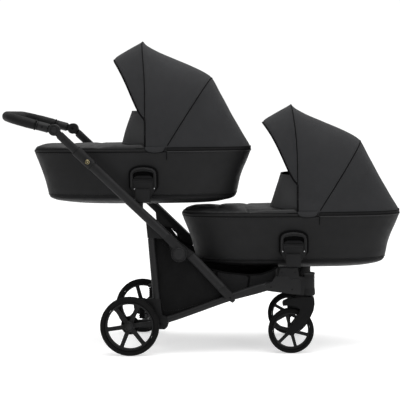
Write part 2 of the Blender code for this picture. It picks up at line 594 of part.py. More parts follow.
core = rod(u_path(0.0560), 0.0125)
steps = []
for side, k in SIDES:
    sleeve = rod([on_handle(0.0245, k * HANDLE_Y), on_handle(0.0735, k * HANDLE_Y)], 0.0178)
    hub = cyl((KNOB.x, k * 0.2375, KNOB.z), (KNOB.x, k * 0.2552, KNOB.z), 0.0224, seg=24)
    web = outline([(p.x, p.z) for p in (on_handle(0.010, 0) + Vector((0, 0, 0.0125)), on_handle(0.010, 0) - Vector((0, 0, 0.0125)),
                                        on_handle(0.030, 0) - Vector((0, 0, 0.0150)), on_handle(0.030, 0) + Vector((0, 0, 0.0150)))],
                  k * 0.2380, k * 0.2548)
    bore = cyl((KNOB.x, k * 0.2300, KNOB.z), (KNOB.x, k * 0.2700, KNOB.z), 0.0055, seg=16)
    steps += [("UNION", sleeve), ("UNION", web), ("UNION", hub), ("DIFFERENCE", bore)]
core = joined(core, *steps)
part("handle_tube", core, BLACK_PLASTIC, knob_axis)
grip = joined(rod(u_path(0.0750), GRIP_R, sides=3), ("DIFFERENCE", rod(u_path(0.0600), 0.0129)))
part("handle_grip", grip, LEATHERETTE, knob_axis)


# ---------------------------------------------------------------- carrycots
def rim_y(x, xc, a=COT_A, b=COT_B, n=3.0):
    """Half width of a carrycot's plan at x."""
    t = min(1.0, abs(x - xc) / a)
    return b * max(0.0, 1 - t ** n) ** (1 / n)


def plan_ring(xc, a, b, z, count=28, n=3.0):
    pts = []
    for i in range(count):
        t = 2 * math.pi * (i + 0.5) / count
        c, s = math.cos(t), math.sin(t)
        pts.append(Vector((xc + a * math.copysign(abs(c) ** (2 / n), c), b * math.copysign(abs(s) ** (2 / n), s), z)))
    return pts


# height, foot end, head end and half width of the tub's outside, from the bottom up
TUB = [(z, (foot + head) / 2, (head - foot) / 2, half) for z, foot, head, half in (
    (0.5778, -0.1150, 0.2050, 0.0600), (0.5818, -0.2200, 0.3200, 0.1120), (0.5921, -0.3030, 0.3790, 0.1580),
    (0.5976, -0.3234, 0.3965, 0.1720), (0.6059, -0.3397, 0.4080, 0.1830), (0.6304, -0.3495, 0.4165, 0.1890),
    (0.6713, -0.3592, 0.4250, 0.1940), (0.7081, -0.3703, 0.4375, 0.1980), (0.7448, -0.3831, 0.4545, 0.2020),
    (0.7860, -0.3990, 0.4708, 0.2070), (0.7970, -0.3980, 0.4700, 0.2065))]


def arch(base_x, base_z, half, top_x, top_z, count=17, n=2.6):
    """A hood rib from the near base over the top to the far base."""
    pts = []
    for i in range(count):
        t = math.pi * i / (count - 1)
        c, s = math.cos(t), math.sin(t)
        up = abs(s) ** (2 / n)
        pts.append(Vector((base_x + (top_x - base_x) * up, -half * math.copysign(abs(c) ** (2 / n), c), base_z + (top_z - base_z) * up)))
    return pts


def between(a, b, t, bulge=0.0):
    out = []
    for i, (p, q) in enumerate(zip(a, b)):
        m = p.lerp(q, t)
        lift = bulge * 4 * t * (1 - t) * math.sin(math.pi * i / (len(a) - 1))
        out.append(m + Vector((lift * 0.5, 0, lift)))
    return out


def carrycot(tag, step, body_axis, on):
    def moved(me):
        me.transform(Matrix.Translation(step))
        return me

    # tub: padded outer wall, rim and floor, with pins for the hood bows inside
    wall = 0.009
    rings = [plan_ring(c, a, b, z) for z, c, a, b in TUB]
    rings.append(plan_ring(COT_XC, COT_A - wall, COT_B - wall, COT_RIM))
    for z, c, a, b in reversed(TUB[5:10]):
        rings.append(plan_ring(c, a - wall, b - wall, z))
    rings.append(plan_ring(0.0340, 0.3620, 0.1700, 0.6075))
    tub = loft(rings)
    px = COT_XC + BOW_DX
    for k in (-1, 1):
        tub = joined(tub, ("UNION", cyl((px, k * 0.1910, BOW_Z), (px, k * 0.1825, BOW_Z), 0.0100, seg=14)),
                     ("UNION", cyl((px, k * 0.1900, BOW_Z), (px, k * 0.1650, BOW_Z), 0.0040, seg=12)))
    part(f"{tag}_cot_tub", moved(tub), LEATHERETTE, on)

    mattress = loft([plan_ring(0.0340, 0.3500, 0.1600, 0.6080, 28), plan_ring(0.0340, 0.3620, 0.1700, 0.6180, 28),
                     plan_ring(0.0340, 0.3630, 0.1710, 0.6340, 28), plan_ring(0.0340, 0.3520, 0.1600, 0.6450, 28)])
    part(f"{tag}_cot_mattress", moved(mattress), WHITE_CLOTH, on)

    # apron over the foot end, with the wind flap that stands up in front of the hood
    rows, cols = [], 17
    xs = [0.9965, 0.975, 0.93, 0.84, 0.70, 0.54, 0.38, 0.27]
    flap_x = -0.0440
    for j, t in enumerate(xs):
        x = COT_XC - t * COT_A
        half = rim_y(x, COT_XC) - 0.0005
        curl = max(0.0, (j - 3) / (len(xs) - 3)) ** 2
        row = []
        for i in range(cols):
            c = math.cos(math.pi * i / (cols - 1))
            y = -half * math.copysign(abs(c) ** 0.85, c)
            rise = 0.0165 * (1 - abs(y / half) ** 4) * min(1.0, j / 2.0) if half > 0 else 0
            row.append(Vector((x + 0.035 * curl * (y / COT_B) ** 2, y, 0.7985 + rise)))
        rows.append(row)
    flap_top = 0.9470
    for j, t in enumerate((0.0, 0.08, 0.55, 1.0)):
        row = []
        half = (rim_y(flap_x, COT_XC) - 0.0005) if j == 0 else 0.1860
        for i in range(cols):
            c = math.cos(math.pi * i / (cols - 1))
            y = -half * math.copysign(abs(c) ** 0.85, c)
            q = min(1.0, abs(y) / 0.1860) ** 4
            foot = 0.7985 + 0.0165 * (1 - abs(y / half if j == 0 else y / 0.21) ** 4)
            row.append(Vector((flap_x + 0.0960 * q + 0.044 * t * (1 - q) - 0.005 * t * q, y, foot + t * (flap_top - foot))))
        rows.append(row)
    apron = sheet(rows, 0.0055, -1.0)
    part(f"{tag}_cot_apron", moved(apron), LEATHERETTE, on)

    # hood: visor edge, front bow, rear bow and the rim behind it, in one curved skin
    base_z = 0.7988
    front = arch(0.0672, base_z, 0.2055, 0.0405, 1.2245)
    rear = arch(0.1430, base_z, 0.2045, 0.3175, 1.0776)
    visor = []
    for p in front:
        h = (p.z - base_z) / (1.2245 - base_z)
        w = max(0.0, (h - 0.27) / 0.73) ** 0.70
        visor.append(p + Vector((-0.1156 * w, 0, -0.0700 * w * h * h)))
    back = []
    start = math.acos(((0.1430 - COT_XC) / (COT_A - 0.0005)) ** 1.5)
    for i in range(17):
        t = start * (1 - 2 * i / 16)
        c, s = math.cos(t), math.sin(t)
        back.append(Vector((COT_XC + (COT_A - 0.0005) * abs(c) ** (2 / 3), -(COT_B - 0.0005) * math.copysign(abs(s) ** (2 / 3), s), base_z + 0.0020)))
    ribs = [visor, between(visor, front, 0.5), front, between(front, rear, 1 / 3, 0.004), between(front, rear, 2 / 3, 0.004), rear,
            between(rear, back, 1 / 3), between(rear, back, 2 / 3), back]
    hood = sheet(ribs, 0.0045, 1.0)
    part(f"{tag}_hood_cover", moved(hood), HOOD_CLOTH, on)

    # bows: U-shaped wires with an eye on each pin
    for label, (deg, reach), eye in (("front", BOW_FRONT, 0.1775), ("rear", BOW_REAR, 0.1680)):
        up = Vector((math.cos(math.radians(deg)), 0, math.sin(math.radians(deg))))
        at = Vector((px, 0, BOW_Z))
        spread = 0.1830
        path = [at + up * 0.0040 + Vector((0, -eye, 0)), at + up * 0.0300 + Vector((0, -eye, 0)), at + up * 0.0800 + Vector((0, -spread, 0))]
        arch_pts = []
        for i in range(13):
            t = math.pi * i / 12
            c, s = math.cos(t), math.sin(t)
            arch_pts.append(at + up * (0.1100 + (reach - 0.1100) * abs(s) ** (2 / 2.6)) + Vector((0, -spread * math.copysign(abs(c) ** (2 / 2.6), c), 0)))
        path += arch_pts
        path += [at + up * 0.0800 + Vector((0, spread, 0)), at + up * 0.0300 + Vector((0, eye, 0)), at + up * 0.0040 + Vector((0, eye, 0))]
        bow = rod(path, BOW_R if label == "front" else 0.0040, sides=1)
        keepers = []
        for k in (-1, 1):
            e = (px, k * (eye - 0.0022), BOW_Z), (px, k * (eye + 0.0022), BOW_Z)
            keepers += [("UNION", cyl(e[0], e[1], 0.0095, seg=14))]
        bow = joined(bow, *keepers)
        for k in (-1, 1):
            bow = joined(bow, ("DIFFERENCE", cyl((px, k * 0.1580, BOW_Z), (px, k * 0.1822, BOW_Z), 0.0045, seg=12)))
        turn = pivot(f"{tag}_hood_{label}_axis", at + step)
        part(f"{tag}_hood_bow_{label}", moved(bow), WIRE_STEEL, turn)

    # side plates: arched plate with a hand slot, wall block and a foot that drops over the adaptor
    cx = PLATE_X[tag]
    fx = cx + POST_DX
    for side, k in SIDES:
        shape = ((0.0270, 0.5925), (0.0275, 0.6110), (0.0450, 0.6380), (0.0508, 0.6500), (0.0508, 0.6980), (0.0490, 0.7095),
                 (0.0436, 0.7175), (0.0350, 0.7225), (0.0190, 0.7265), (0.0, 0.7280))
        pts = [(cx + x, z) for x, z in shape] + [(cx - x - (0.0030 if z < 0.62 else 0.0), z) for x, z in reversed(shape[:-1])]
        slot = [(cx + x, z) for x, z in ((-0.0400, 0.6830), (0.0400, 0.6830), (0.0400, 0.7020), (0.0350, 0.7085), (0.0170, 0.7125), (0.0, 0.7138),
                                         (-0.0170, 0.7125), (-0.0350, 0.7085), (-0.0400, 0.7020))]
        plate = outline(pts, k * 0.2085, k * 0.2215, holes=[slot])
        block = bmesh.new()
        ends = []
        for x in (cx - 0.0400, cx + 0.0400):
            ends.append([block.verts.new((x, k * y, z)) for y, z in ((0.2100, 0.6750), (0.1958, 0.6750), (0.1902, 0.6400), (0.2100, 0.6400))])
        for i in range(4):
            block.faces.new((ends[0][i], ends[0][(i + 1) % 4], ends[1][(i + 1) % 4], ends[1][i]))
        block.faces.new(list(reversed(ends[0])))
        block.faces.new(ends[1])
        foot = box((cx - 0.0295, k * 0.2195, 0.5930), (cx + 0.0265, k * 0.2370, 0.6440))
        room = box((fx - 0.0119, k * 0.2221, 0.5800), (fx + 0.0119, k * 0.2329, 0.6330))
        plate = joined(plate, ("UNION", from_bm(block)), ("UNION", foot), ("DIFFERENCE", room))
        part(f"{tag}_side_plate_{side}", moved(plate), BLACK_PLASTIC, on)
        lever = outline([(cx - 0.0360, 0.6845), (cx + 0.0360, 0.6845), (cx + 0.0360, 0.6900), (cx + 0.0250, 0.6960), (cx - 0.0250, 0.6960),
                         (cx - 0.0360, 0.6900)], k * 0.2100, k * 0.2230)
        pull = pivot(f"{tag}_release_{side}_axis", Vector((cx, k * 0.2170, 0.6900)) + step)
        part(f"{tag}_release_lever_{side}", moved(lever), BLACK_PLASTIC, pull)


carrycot("upper", Vector((0, 0, 0)), None, ROOT)
carrycot("lower", COT_STEP, None, ROOT)
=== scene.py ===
import json
import math

import bmesh
import bpy
import numpy as np
from mathutils import Matrix, Vector, noise

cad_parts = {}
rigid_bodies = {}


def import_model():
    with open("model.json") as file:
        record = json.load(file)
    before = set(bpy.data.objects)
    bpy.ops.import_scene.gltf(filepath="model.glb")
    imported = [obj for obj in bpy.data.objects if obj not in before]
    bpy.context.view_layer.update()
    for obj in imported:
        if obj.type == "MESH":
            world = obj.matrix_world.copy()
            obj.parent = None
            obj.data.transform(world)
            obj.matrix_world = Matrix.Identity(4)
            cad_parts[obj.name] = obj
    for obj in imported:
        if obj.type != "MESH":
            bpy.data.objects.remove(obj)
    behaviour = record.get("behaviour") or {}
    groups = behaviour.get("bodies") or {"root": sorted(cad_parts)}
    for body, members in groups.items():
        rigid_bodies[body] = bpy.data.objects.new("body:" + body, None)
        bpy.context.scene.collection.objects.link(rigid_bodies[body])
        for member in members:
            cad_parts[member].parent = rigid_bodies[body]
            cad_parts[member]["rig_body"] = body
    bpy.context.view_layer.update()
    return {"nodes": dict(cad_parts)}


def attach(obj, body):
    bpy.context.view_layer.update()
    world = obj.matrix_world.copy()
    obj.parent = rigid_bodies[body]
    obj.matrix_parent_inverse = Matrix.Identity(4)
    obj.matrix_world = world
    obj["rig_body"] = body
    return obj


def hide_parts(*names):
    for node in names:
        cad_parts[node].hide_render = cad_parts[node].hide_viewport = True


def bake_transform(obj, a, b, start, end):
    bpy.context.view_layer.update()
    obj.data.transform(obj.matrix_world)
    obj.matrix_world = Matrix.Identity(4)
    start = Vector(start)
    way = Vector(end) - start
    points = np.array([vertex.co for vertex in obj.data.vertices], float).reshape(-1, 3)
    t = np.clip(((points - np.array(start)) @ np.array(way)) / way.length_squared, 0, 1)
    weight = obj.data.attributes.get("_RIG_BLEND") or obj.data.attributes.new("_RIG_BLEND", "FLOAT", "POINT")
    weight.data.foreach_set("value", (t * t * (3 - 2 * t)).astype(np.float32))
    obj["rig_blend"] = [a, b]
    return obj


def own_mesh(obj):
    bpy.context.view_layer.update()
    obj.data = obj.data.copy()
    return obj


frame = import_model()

SHIFT = np.array([-0.2783, 0.0, 0.0])     # lengths below are measured forward from the rear axle
STEP = np.array([0.593, 0.0, -0.2565])    # from the rear carrycot to the front one
ZERO = np.zeros(3)
TAU = 2 * math.pi

# ================================================================ materials
MAT = {}


class Nodes:
    """A material's node tree, with short calls for the textures used here."""

    def __init__(self, name, colour, rough, metal=0.0, spec=0.5, sheen=0.0, sheen_rough=0.5, coat=0.0, coat_rough=0.3):
        self.mat = bpy.data.materials.new(name)
        self.mat.use_nodes = True
        self.tree = self.mat.node_tree
        self.shader = self.tree.nodes["Principled BSDF"]
        s = self.shader.inputs
        s["Base Color"].default_value = (*colour, 1)
        s["Roughness"].default_value = rough
        s["Metallic"].default_value = metal
        s["Specular IOR Level"].default_value = spec
        s["Sheen Weight"].default_value = sheen
        s["Sheen Roughness"].default_value = sheen_rough
        s["Coat Weight"].default_value = coat
        s["Coat Roughness"].default_value = coat_rough
        self.mat.diffuse_color = (*colour, 1)
        self.space = self.tree.nodes.new("ShaderNodeTexCoord").outputs["Object"]
        self.normal = None
        MAT[name] = self.mat

    def new(self, kind, **values):
        node = self.tree.nodes.new(kind)
        for key, value in values.items():
            setattr(node, key, value)
        return node

    def link(self, a, b):
        self.tree.links.new(a, b)

    def place(self, scale=(1, 1, 1), turn=(0, 0, 0)):
        node = self.new("ShaderNodeMapping")
        self.link(self.space, node.inputs["Vector"])
        node.inputs["Scale"].default_value = scale
        node.inputs["Rotation"].default_value = turn
        return node.outputs[0]

    def noise(self, scale, detail=4.0, rough=0.55, distort=0.0, at=None):
        node = self.new("ShaderNodeTexNoise")
        self.link(at or self.space, node.inputs["Vector"])
        node.inputs["Scale"].default_value = scale
        node.inputs["Detail"].default_value = detail
        node.inputs["Roughness"].default_value = rough
        node.inputs["Distortion"].default_value = distort
        return node.outputs["Fac"]

    def cells(self, scale, feature="F1", at=None, smooth=None):
        node = self.new("ShaderNodeTexVoronoi", feature=feature)
        self.link(at or self.space, node.inputs["Vector"])
        node.inputs["Scale"].default_value = scale
        return node.outputs["Distance"]

    def wave(self, scale, direction="X", distort=0.0, at=None, kind="BANDS", profile="SIN"):
        node = self.new("ShaderNodeTexWave", wave_type=kind, bands_direction=direction, wave_profile=profile)
        self.link(at or self.space, node.inputs["Vector"])
        node.inputs["Scale"].default_value = scale
        node.inputs["Distortion"].default_value = distort
        return node.outputs["Fac"]

    def span(self, value, lo, hi, from_lo=0.0, from_hi=1.0):
        node = self.new("ShaderNodeMapRange")
        self.link(value, node.inputs["Value"])
        node.inputs["From Min"].default_value = from_lo
        node.inputs["From Max"].default_value = from_hi
        node.inputs["To Min"].default_value = lo
        node.inputs["To Max"].default_value = hi
        return node.outputs[0]

    def math(self, op, a, b):
        node = self.new("ShaderNodeMath", operation=op)
        for socket, value in zip(node.inputs, (a, b)):
            if isinstance(value, (int, float)):
                socket.default_value = value
            else:
                self.link(value, socket)
        return node.outputs[0]

    def mix(self, fac, a, b):
        node = self.new("ShaderNodeMix", data_type="RGBA")
        if isinstance(fac, (int, float)):
            node.inputs["Factor"].default_value = fac
        else:
            self.link(fac, node.inputs["Factor"])
        for socket, value in zip((node.inputs[6], node.inputs[7]), (a, b)):
            if isinstance(value, tuple):
                socket.default_value = (*value, 1)
            else:
                self.link(value, socket)
        return node.outputs[2]

    def colour(self, value):
        self.link(value, self.shader.inputs["Base Color"])

    def rough(self, value):
        self.link(value, self.shader.inputs["Roughness"])

    def bump(self, height, distance, strength=1.0):
        node = self.new("ShaderNodeBump")
        node.inputs["Strength"].default_value = strength
        node.inputs["Distance"].default_value = distance
        self.link(height, node.inputs["Height"])
        if self.normal is not None:
            self.link(self.normal, node.inputs["Normal"])
        self.normal = node.outputs[0]
        self.link(self.normal, self.shader.inputs["Normal"])

    def convex_edges(self):
        """High on convex outer edges, from the mesh's pointiness."""
        node = self.new("ShaderNodeNewGeometry")
        return self.span(node.outputs["Pointiness"], 0.0, 1.0, 0.50, 0.60)


def leather(name, dark, light, rough, spec, grain=620.0, crease=0.0011):
    n = Nodes(name, dark, rough, spec=spec)
    patches = n.noise(5.0, 3.0)
    n.colour(n.mix(n.span(patches, 0.0, 1.0, 0.3, 0.7), dark, light))
    n.rough(n.span(n.noise(38.0, 5.0), rough - 0.06, rough + 0.08, 0.3, 0.7))
    n.bump(n.noise(26.0, 3.0, 0.5, 0.6), crease, 0.30)
    n.bump(n.noise(120.0, 2.0, 0.5, 0.9), 0.0004, 0.35)
    n.bump(n.cells(grain, "DISTANCE_TO_EDGE"), 0.00022, 0.55)
    return n.mat


def woven(name, dark, light, rough, spec, thread, sheen, depth=0.0003, fuzz=0.4):
    n = Nodes(name, dark, rough, spec=spec, sheen=sheen, sheen_rough=0.45)
    scale = 0.314 / thread
    warp = n.wave(scale, "X", 0.4)
    weft = n.wave(scale, "Z", 0.4, at=n.place(turn=(math.radians(45), 0, 0)))
    cloth = n.math("MULTIPLY", warp, weft)
    tone = n.math("ADD", n.math("MULTIPLY", cloth, 0.35), n.math("MULTIPLY", n.noise(7.0, 4.0), 0.75))
    n.colour(n.mix(n.span(tone, 0.0, 1.0, 0.2, 0.85), dark, light))
    n.rough(n.span(n.noise(50.0, 4.0), rough - 0.05, rough + 0.05, 0.3, 0.7))
    n.bump(n.noise(18.0, 3.0, 0.5, 0.5), 0.0016, 0.30)
    n.bump(n.noise(900.0, 3.0, 0.6), 0.0002, fuzz)
    n.bump(cloth, depth, 0.6)
    return n.mat


def coated_metal(name, dark, light, rough, spec, metal=0.0):
    n = Nodes(name, dark, rough, metal=metal, spec=spec)
    speck = n.noise(9.0, 4.0)
    tone = n.mix(n.span(speck, 0.0, 1.0, 0.35, 0.65), dark, light)
    # lighter in noise patches on convex edges
    n.colour(n.mix(n.math("MULTIPLY", n.convex_edges(), n.span(n.noise(70.0, 3.0), 0.0, 0.6, 0.45, 0.7)), tone, tuple(3.2 * c for c in light)))
    n.rough(n.span(n.noise(55.0, 5.0), rough - 0.07, rough + 0.07, 0.3, 0.7))
    n.bump(n.noise(1500.0, 2.0, 0.6), 0.00012, 0.45)
    return n.mat


def moulded(name, dark, light, rough, spec, grain=800.0):
    n = Nodes(name, dark, rough, spec=spec)
    tone = n.mix(n.span(n.noise(12.0, 3.0), 0.0, 1.0, 0.35, 0.65), dark, light)
    # lighter along every convex edge
    n.colour(n.mix(n.math("MULTIPLY", n.convex_edges(), 0.5), tone, tuple(2.2 * c for c in light)))
    n.rough(n.span(n.noise(40.0, 4.0), rough - 0.05, rough + 0.06, 0.3, 0.7))
    n.bump(n.cells(grain, "SMOOTH_F1"), 0.00018, 0.5)
    return n.mat


leather("leatherette", (0.0062, 0.0062, 0.0065), (0.0090, 0.0090, 0.0094), 0.54, 0.13)
# darker copy of leatherette: on the rim band of the foot half it paints the shade under the apron; also used on the
# lower seam's piping
leather("leatherette_dark", (0.0040, 0.0040, 0.0042), (0.0060, 0.0060, 0.0063), 0.54, 0.15)
leather("apron_leather", (0.0100, 0.0100, 0.0104), (0.0138, 0.0138, 0.0143), 0.46, 0.24)
leather("grip_leather", (0.0032, 0.0032, 0.0034), (0.0050, 0.0050, 0.0052), 0.54, 0.13, grain=900.0, crease=0.0006)
woven("hood_cloth", (0.0132, 0.0134, 0.0144), (0.0206, 0.0209, 0.0222), 0.72, 0.13, 0.0009, 0.04)
woven("flap_cloth", (0.0225, 0.0227, 0.0235), (0.0310, 0.0312, 0.0322), 0.80, 0.18, 0.0010, 0.05)
woven("lining_cloth", (0.0090, 0.0090, 0.0094), (0.0140, 0.0140, 0.0146), 0.85, 0.12, 0.0012, 0.04)
# near-black binding and seam tape; the same material also makes the painted shadow halo round the side plates
woven("seam_tape_and_shadow", (0.0012, 0.0012, 0.0013), (0.0024, 0.0024, 0.0026), 0.85, 0.06, 0.0008, 0.0)
woven("zip_tape", (0.0040, 0.0040, 0.0042), (0.0062, 0.0062, 0.0065), 0.75, 0.12, 0.0007, 0.0)
woven("basket_cloth", (0.0040, 0.0040, 0.0043), (0.0085, 0.0085, 0.0090), 0.82, 0.16, 0.0012, 0.03)
woven("panel_cloth", (0.0018, 0.0018, 0.0019), (0.0042, 0.0042, 0.0044), 0.72, 0.09, 0.0012, 0.02)
woven("mattress_cover", (0.52, 0.52, 0.505), (0.62, 0.62, 0.60), 0.90, 0.20, 0.0022, 0.25, depth=0.0006)
woven("thread", (0.0080, 0.0080, 0.0084), (0.0140, 0.0140, 0.0146), 0.60, 0.24, 0.0006, 0.1)
woven("mattress_thread", (0.38, 0.38, 0.37), (0.50, 0.50, 0.48), 0.80, 0.20, 0.0006, 0.1)
coated_metal("powder_coat", (0.0046, 0.0046, 0.0049), (0.0068, 0.0068, 0.0072), 0.46, 0.18)
coated_metal("low_coat", (0.0040, 0.0040, 0.0043), (0.0062, 0.0062, 0.0066), 0.48, 0.19)
moulded("moulding", (0.0036, 0.0036, 0.0038), (0.0056, 0.0056, 0.0059), 0.46, 0.17)
moulded("low_moulding", (0.0024, 0.0024, 0.0026), (0.0040, 0.0040, 0.0042), 0.48, 0.13)
moulded("moulding_dark", (0.0015, 0.0015, 0.0016), (0.0027, 0.0027, 0.0029), 0.52, 0.08)
moulded("rim_plastic", (0.0024, 0.0024, 0.0026), (0.0040, 0.0040, 0.0042), 0.46, 0.16)


def rubber():
    n = Nodes("tyre_rubber", (0.0028, 0.0028, 0.0029), 0.80, spec=0.09)
    dust = n.span(n.noise(22.0, 5.0, 0.65), 0.0, 1.0, 0.42, 0.75)
    n.colour(n.mix(dust, (0.0022, 0.0022, 0.0023), (0.0044, 0.0043, 0.0042)))
    n.rough(n.span(n.noise(60.0, 4.0), 0.70, 0.86, 0.3, 0.7))
    n.bump(n.noise(700.0, 3.0, 0.6), 0.0002, 0.5)


def bright(name, dark, light, rough, metal):
    n = Nodes(name, light, rough, metal=metal, spec=0.5)
    n.colour(n.mix(n.span(n.noise(160.0, 4.0), 0.0, 1.0, 0.3, 0.7), dark, light))
    n.rough(n.span(n.noise(400.0, 3.0), rough - 0.08, rough + 0.12, 0.3, 0.7))
    n.bump(n.noise(2200.0, 2.0), 0.00006, 0.4)


rubber()
bright("brass", (0.26, 0.22, 0.12), (0.40, 0.34, 0.19), 0.34, 0.9)
bright("steel", (0.30, 0.30, 0.31), (0.46, 0.46, 0.47), 0.32, 0.95)
coated_metal("wire", (0.0060, 0.0060, 0.0063), (0.0095, 0.0095, 0.0100), 0.40, 0.30)


# ================================================================ mesh tools
def vec(*p):
    return np.array(p, float)


def unit(v):
    v = np.asarray(v, float)
    return v / (np.linalg.norm(v) + 1e-12)


class Build:
    """Collects shells of one piece, each with its own material."""

    def __init__(self):
        self.points, self.faces, self.kinds, self.count, self.mats = [], [], [], 0, []

    def add(self, shell, mat):
        points, faces = shell
        if mat not in self.mats:
            self.mats.append(mat)
        kind = self.mats.index(mat)
        self.points.append(np.asarray(points, float).reshape(-1, 3))
        self.faces += [tuple(i + self.count for i in f) for f in faces]
        self.kinds += [kind] * len(faces)
        self.count += len(self.points[-1])
        return self

    def make(self, name, body=None, replaces=(), move=ZERO, sharp=38.0, flip=True):
        me = bpy.data.meshes.new(name)
        at = np.concatenate(self.points) + SHIFT + move
        me.from_pydata(at.tolist(), [], self.faces)
        for m in self.mats:
            me.materials.append(MAT[m])
        me.polygons.foreach_set("material_index", self.kinds)
        if flip:
            bm = bmesh.new()
            bm.from_mesh(me)
            bmesh.ops.recalc_face_normals(bm, faces=bm.faces)
            bm.to_mesh(me)
            bm.free()
        me.shade_smooth()
        if sharp < 180:
            me.set_sharp_from_angle(angle=math.radians(sharp))
        ob = bpy.data.objects.new(name, me)
        bpy.context.scene.collection.objects.link(ob)
        if body:
            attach(ob, body)
        if replaces:
            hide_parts(*([replaces] if isinstance(replaces, str) else replaces))
        return ob


def grid(rows, closed=False, ends=(False, False)):
    """A skin over rows of points. closed joins each row's last point to its first; ends closes the first and last row with a fan."""
    rows = [np.asarray(r, float) for r in rows]
    n = len(rows[0])
    points = np.concatenate(rows)
    faces = []
    across = n if closed else n - 1
    for j in range(len(rows) - 1):
        for i in range(across):
            k = (i + 1) % n
            faces.append((j * n + i, j * n + k, (j + 1) * n + k, (j + 1) * n + i))
    extra = []
    for end, row, flip in ((ends[0], 0, True), (ends[1], len(rows) - 1, False)):
        if end:
            extra.append(rows[row].mean(0))
            c = len(points) + len(extra) - 1
            for i in range(n):
                f = (row * n + i, row * n + (i + 1) % n, c)
                faces.append(f[::-1] if flip else f)
    if extra:
        points = np.concatenate([points, np.array(extra)])
    return points, faces


def tube(path, r, sides=14, closed=False, caps=True, squeeze=None, up=None):
    """A round bar along a path. r is one radius or one for each point. squeeze=(axis, factor) flattens its section."""
    path = np.asarray(path, float)
    n = len(path)
    r = np.full(n, r) if np.isscalar(r) else np.asarray(r, float)
    if closed:
        tangent = np.roll(path, -1, 0) - np.roll(path, 1, 0)
    else:
        tangent = np.gradient(path, axis=0)
    tangent /= np.linalg.norm(tangent, axis=1)[:, None] + 1e-12
    first = vec(*up) if up is not None else (vec(0, 1, 0) if abs(tangent[0][1]) < 0.9 else vec(1, 0, 0))
    normal = unit(first - tangent[0] * first.dot(tangent[0]))
    rows = []
    frames = []
    for i in range(n):
        normal = unit(normal - tangent[i] * normal.dot(tangent[i]))
        frames.append((normal, np.cross(tangent[i], normal)))
    if closed:      # spread the twist that is left over
        a, b = frames[-1][0], frames[0][0]
        t = tangent[0]
        a = unit(a - t * a.dot(t))
        twist = math.atan2(np.cross(a, b).dot(t), a.dot(b))
    else:
        twist = 0.0
    for i in range(n):
        u, v = frames[i]
        turn = twist * i / n
        ring = []
        for k in range(sides):
            q = TAU * k / sides + turn
            off = (u * math.cos(q) + v * math.sin(q)) * r[i]
            if squeeze:
                axis, factor = np.asarray(squeeze[0], float), squeeze[1]
                off = off + axis * off.dot(axis) * (factor - 1)
            ring.append(path[i] + off)
        rows.append(np.array(ring))
    if closed:
        rows.append(rows[0])
        points, faces = grid(rows, closed=True)
        last = (len(rows) - 1) * sides
        faces = [tuple(i - last if i >= last else i for i in f) for f in faces]
        return points[:last], faces
    return grid(rows, closed=True, ends=(caps, caps))


def rounded_ends(path, r, reach, steps=4):
    """Path and radii of a bar whose ends are rounded over reach."""
    path = [np.asarray(p, float) for p in path]
    a, b = path[0], path[-1]
    da, db = unit(path[1] - a), unit(path[-2] - b)
    points, radii = [], []
    for i in range(steps):
        q = math.pi / 2 * i / steps
        points.append(a + da * reach * (1 - math.cos(q)))
        radii.append(r - reach * (1 - math.sin(q)))
    points.append(a + da * reach)
    radii.append(r)
    for p in path[1:-1]:
        points.append(p)
        radii.append(r)
    points.append(b + db * reach)
    radii.append(r)
    for i in reversed(range(steps)):
        q = math.pi / 2 * i / steps
        points.append(b + db * reach * (1 - math.cos(q)))
        radii.append(r - reach * (1 - math.sin(q)))
    return np.array(points), np.array(radii)


def fillet(points, r, seg=3, closed=True):
    """Rounds the corners of a flat outline."""
    points = [vec(*p) for p in points]
    n = len(points)
    out = []
    for i, p in enumerate(points):
        if not closed and i in (0, n - 1):
            out.append(p)
            continue
        a, b = points[i - 1] - p, points[(i + 1) % n] - p
        la, lb = np.linalg.norm(a), np.linalg.norm(b)
        cut = min(r, la * 0.45, lb * 0.45)
        a, b = p + a / la * cut, p + b / lb * cut
        for k in range(seg + 1):
            t = k / seg
            out.append((1 - t) ** 2 * a + 2 * t * (1 - t) * p + t * t * b)
    return [tuple(p) for p in out]


def turned(profile, at, steps=64, closed=True, axis="Y"):
    """A profile of (radius, offset) turned about the Y direction through at."""
    rows = []
    for k in range(steps):
        q = TAU * k / steps
        rows.append(np.array([(at[0] + r * math.cos(q), at[1] + h, at[2] + r * math.sin(q)) for r, h in profile]))
    if axis == "Z":
        for k in range(steps):
            q = TAU * k / steps
            rows[k] = np.array([(at[0] + r * math.cos(q), at[1] + r * math.sin(q), at[2] + h) for r, h in profile])
    n = len(profile)
    points = np.concatenate(rows)
    faces = []
    for k in range(steps):
        j = (k + 1) % steps
        for i in range(n if closed else n - 1):
            m = (i + 1) % n
            faces.append((k * n + i, k * n + m, j * n + m, j * n + i))
    return points, faces


def dome(profile, at, steps=32, axis="Y"):
    """A turned shape whose profile starts and ends on the axis."""
    points, faces = turned(profile, at, steps, closed=False, axis=axis)
    faces = [tuple(dict.fromkeys(f)) for f in faces]
    return points, faces


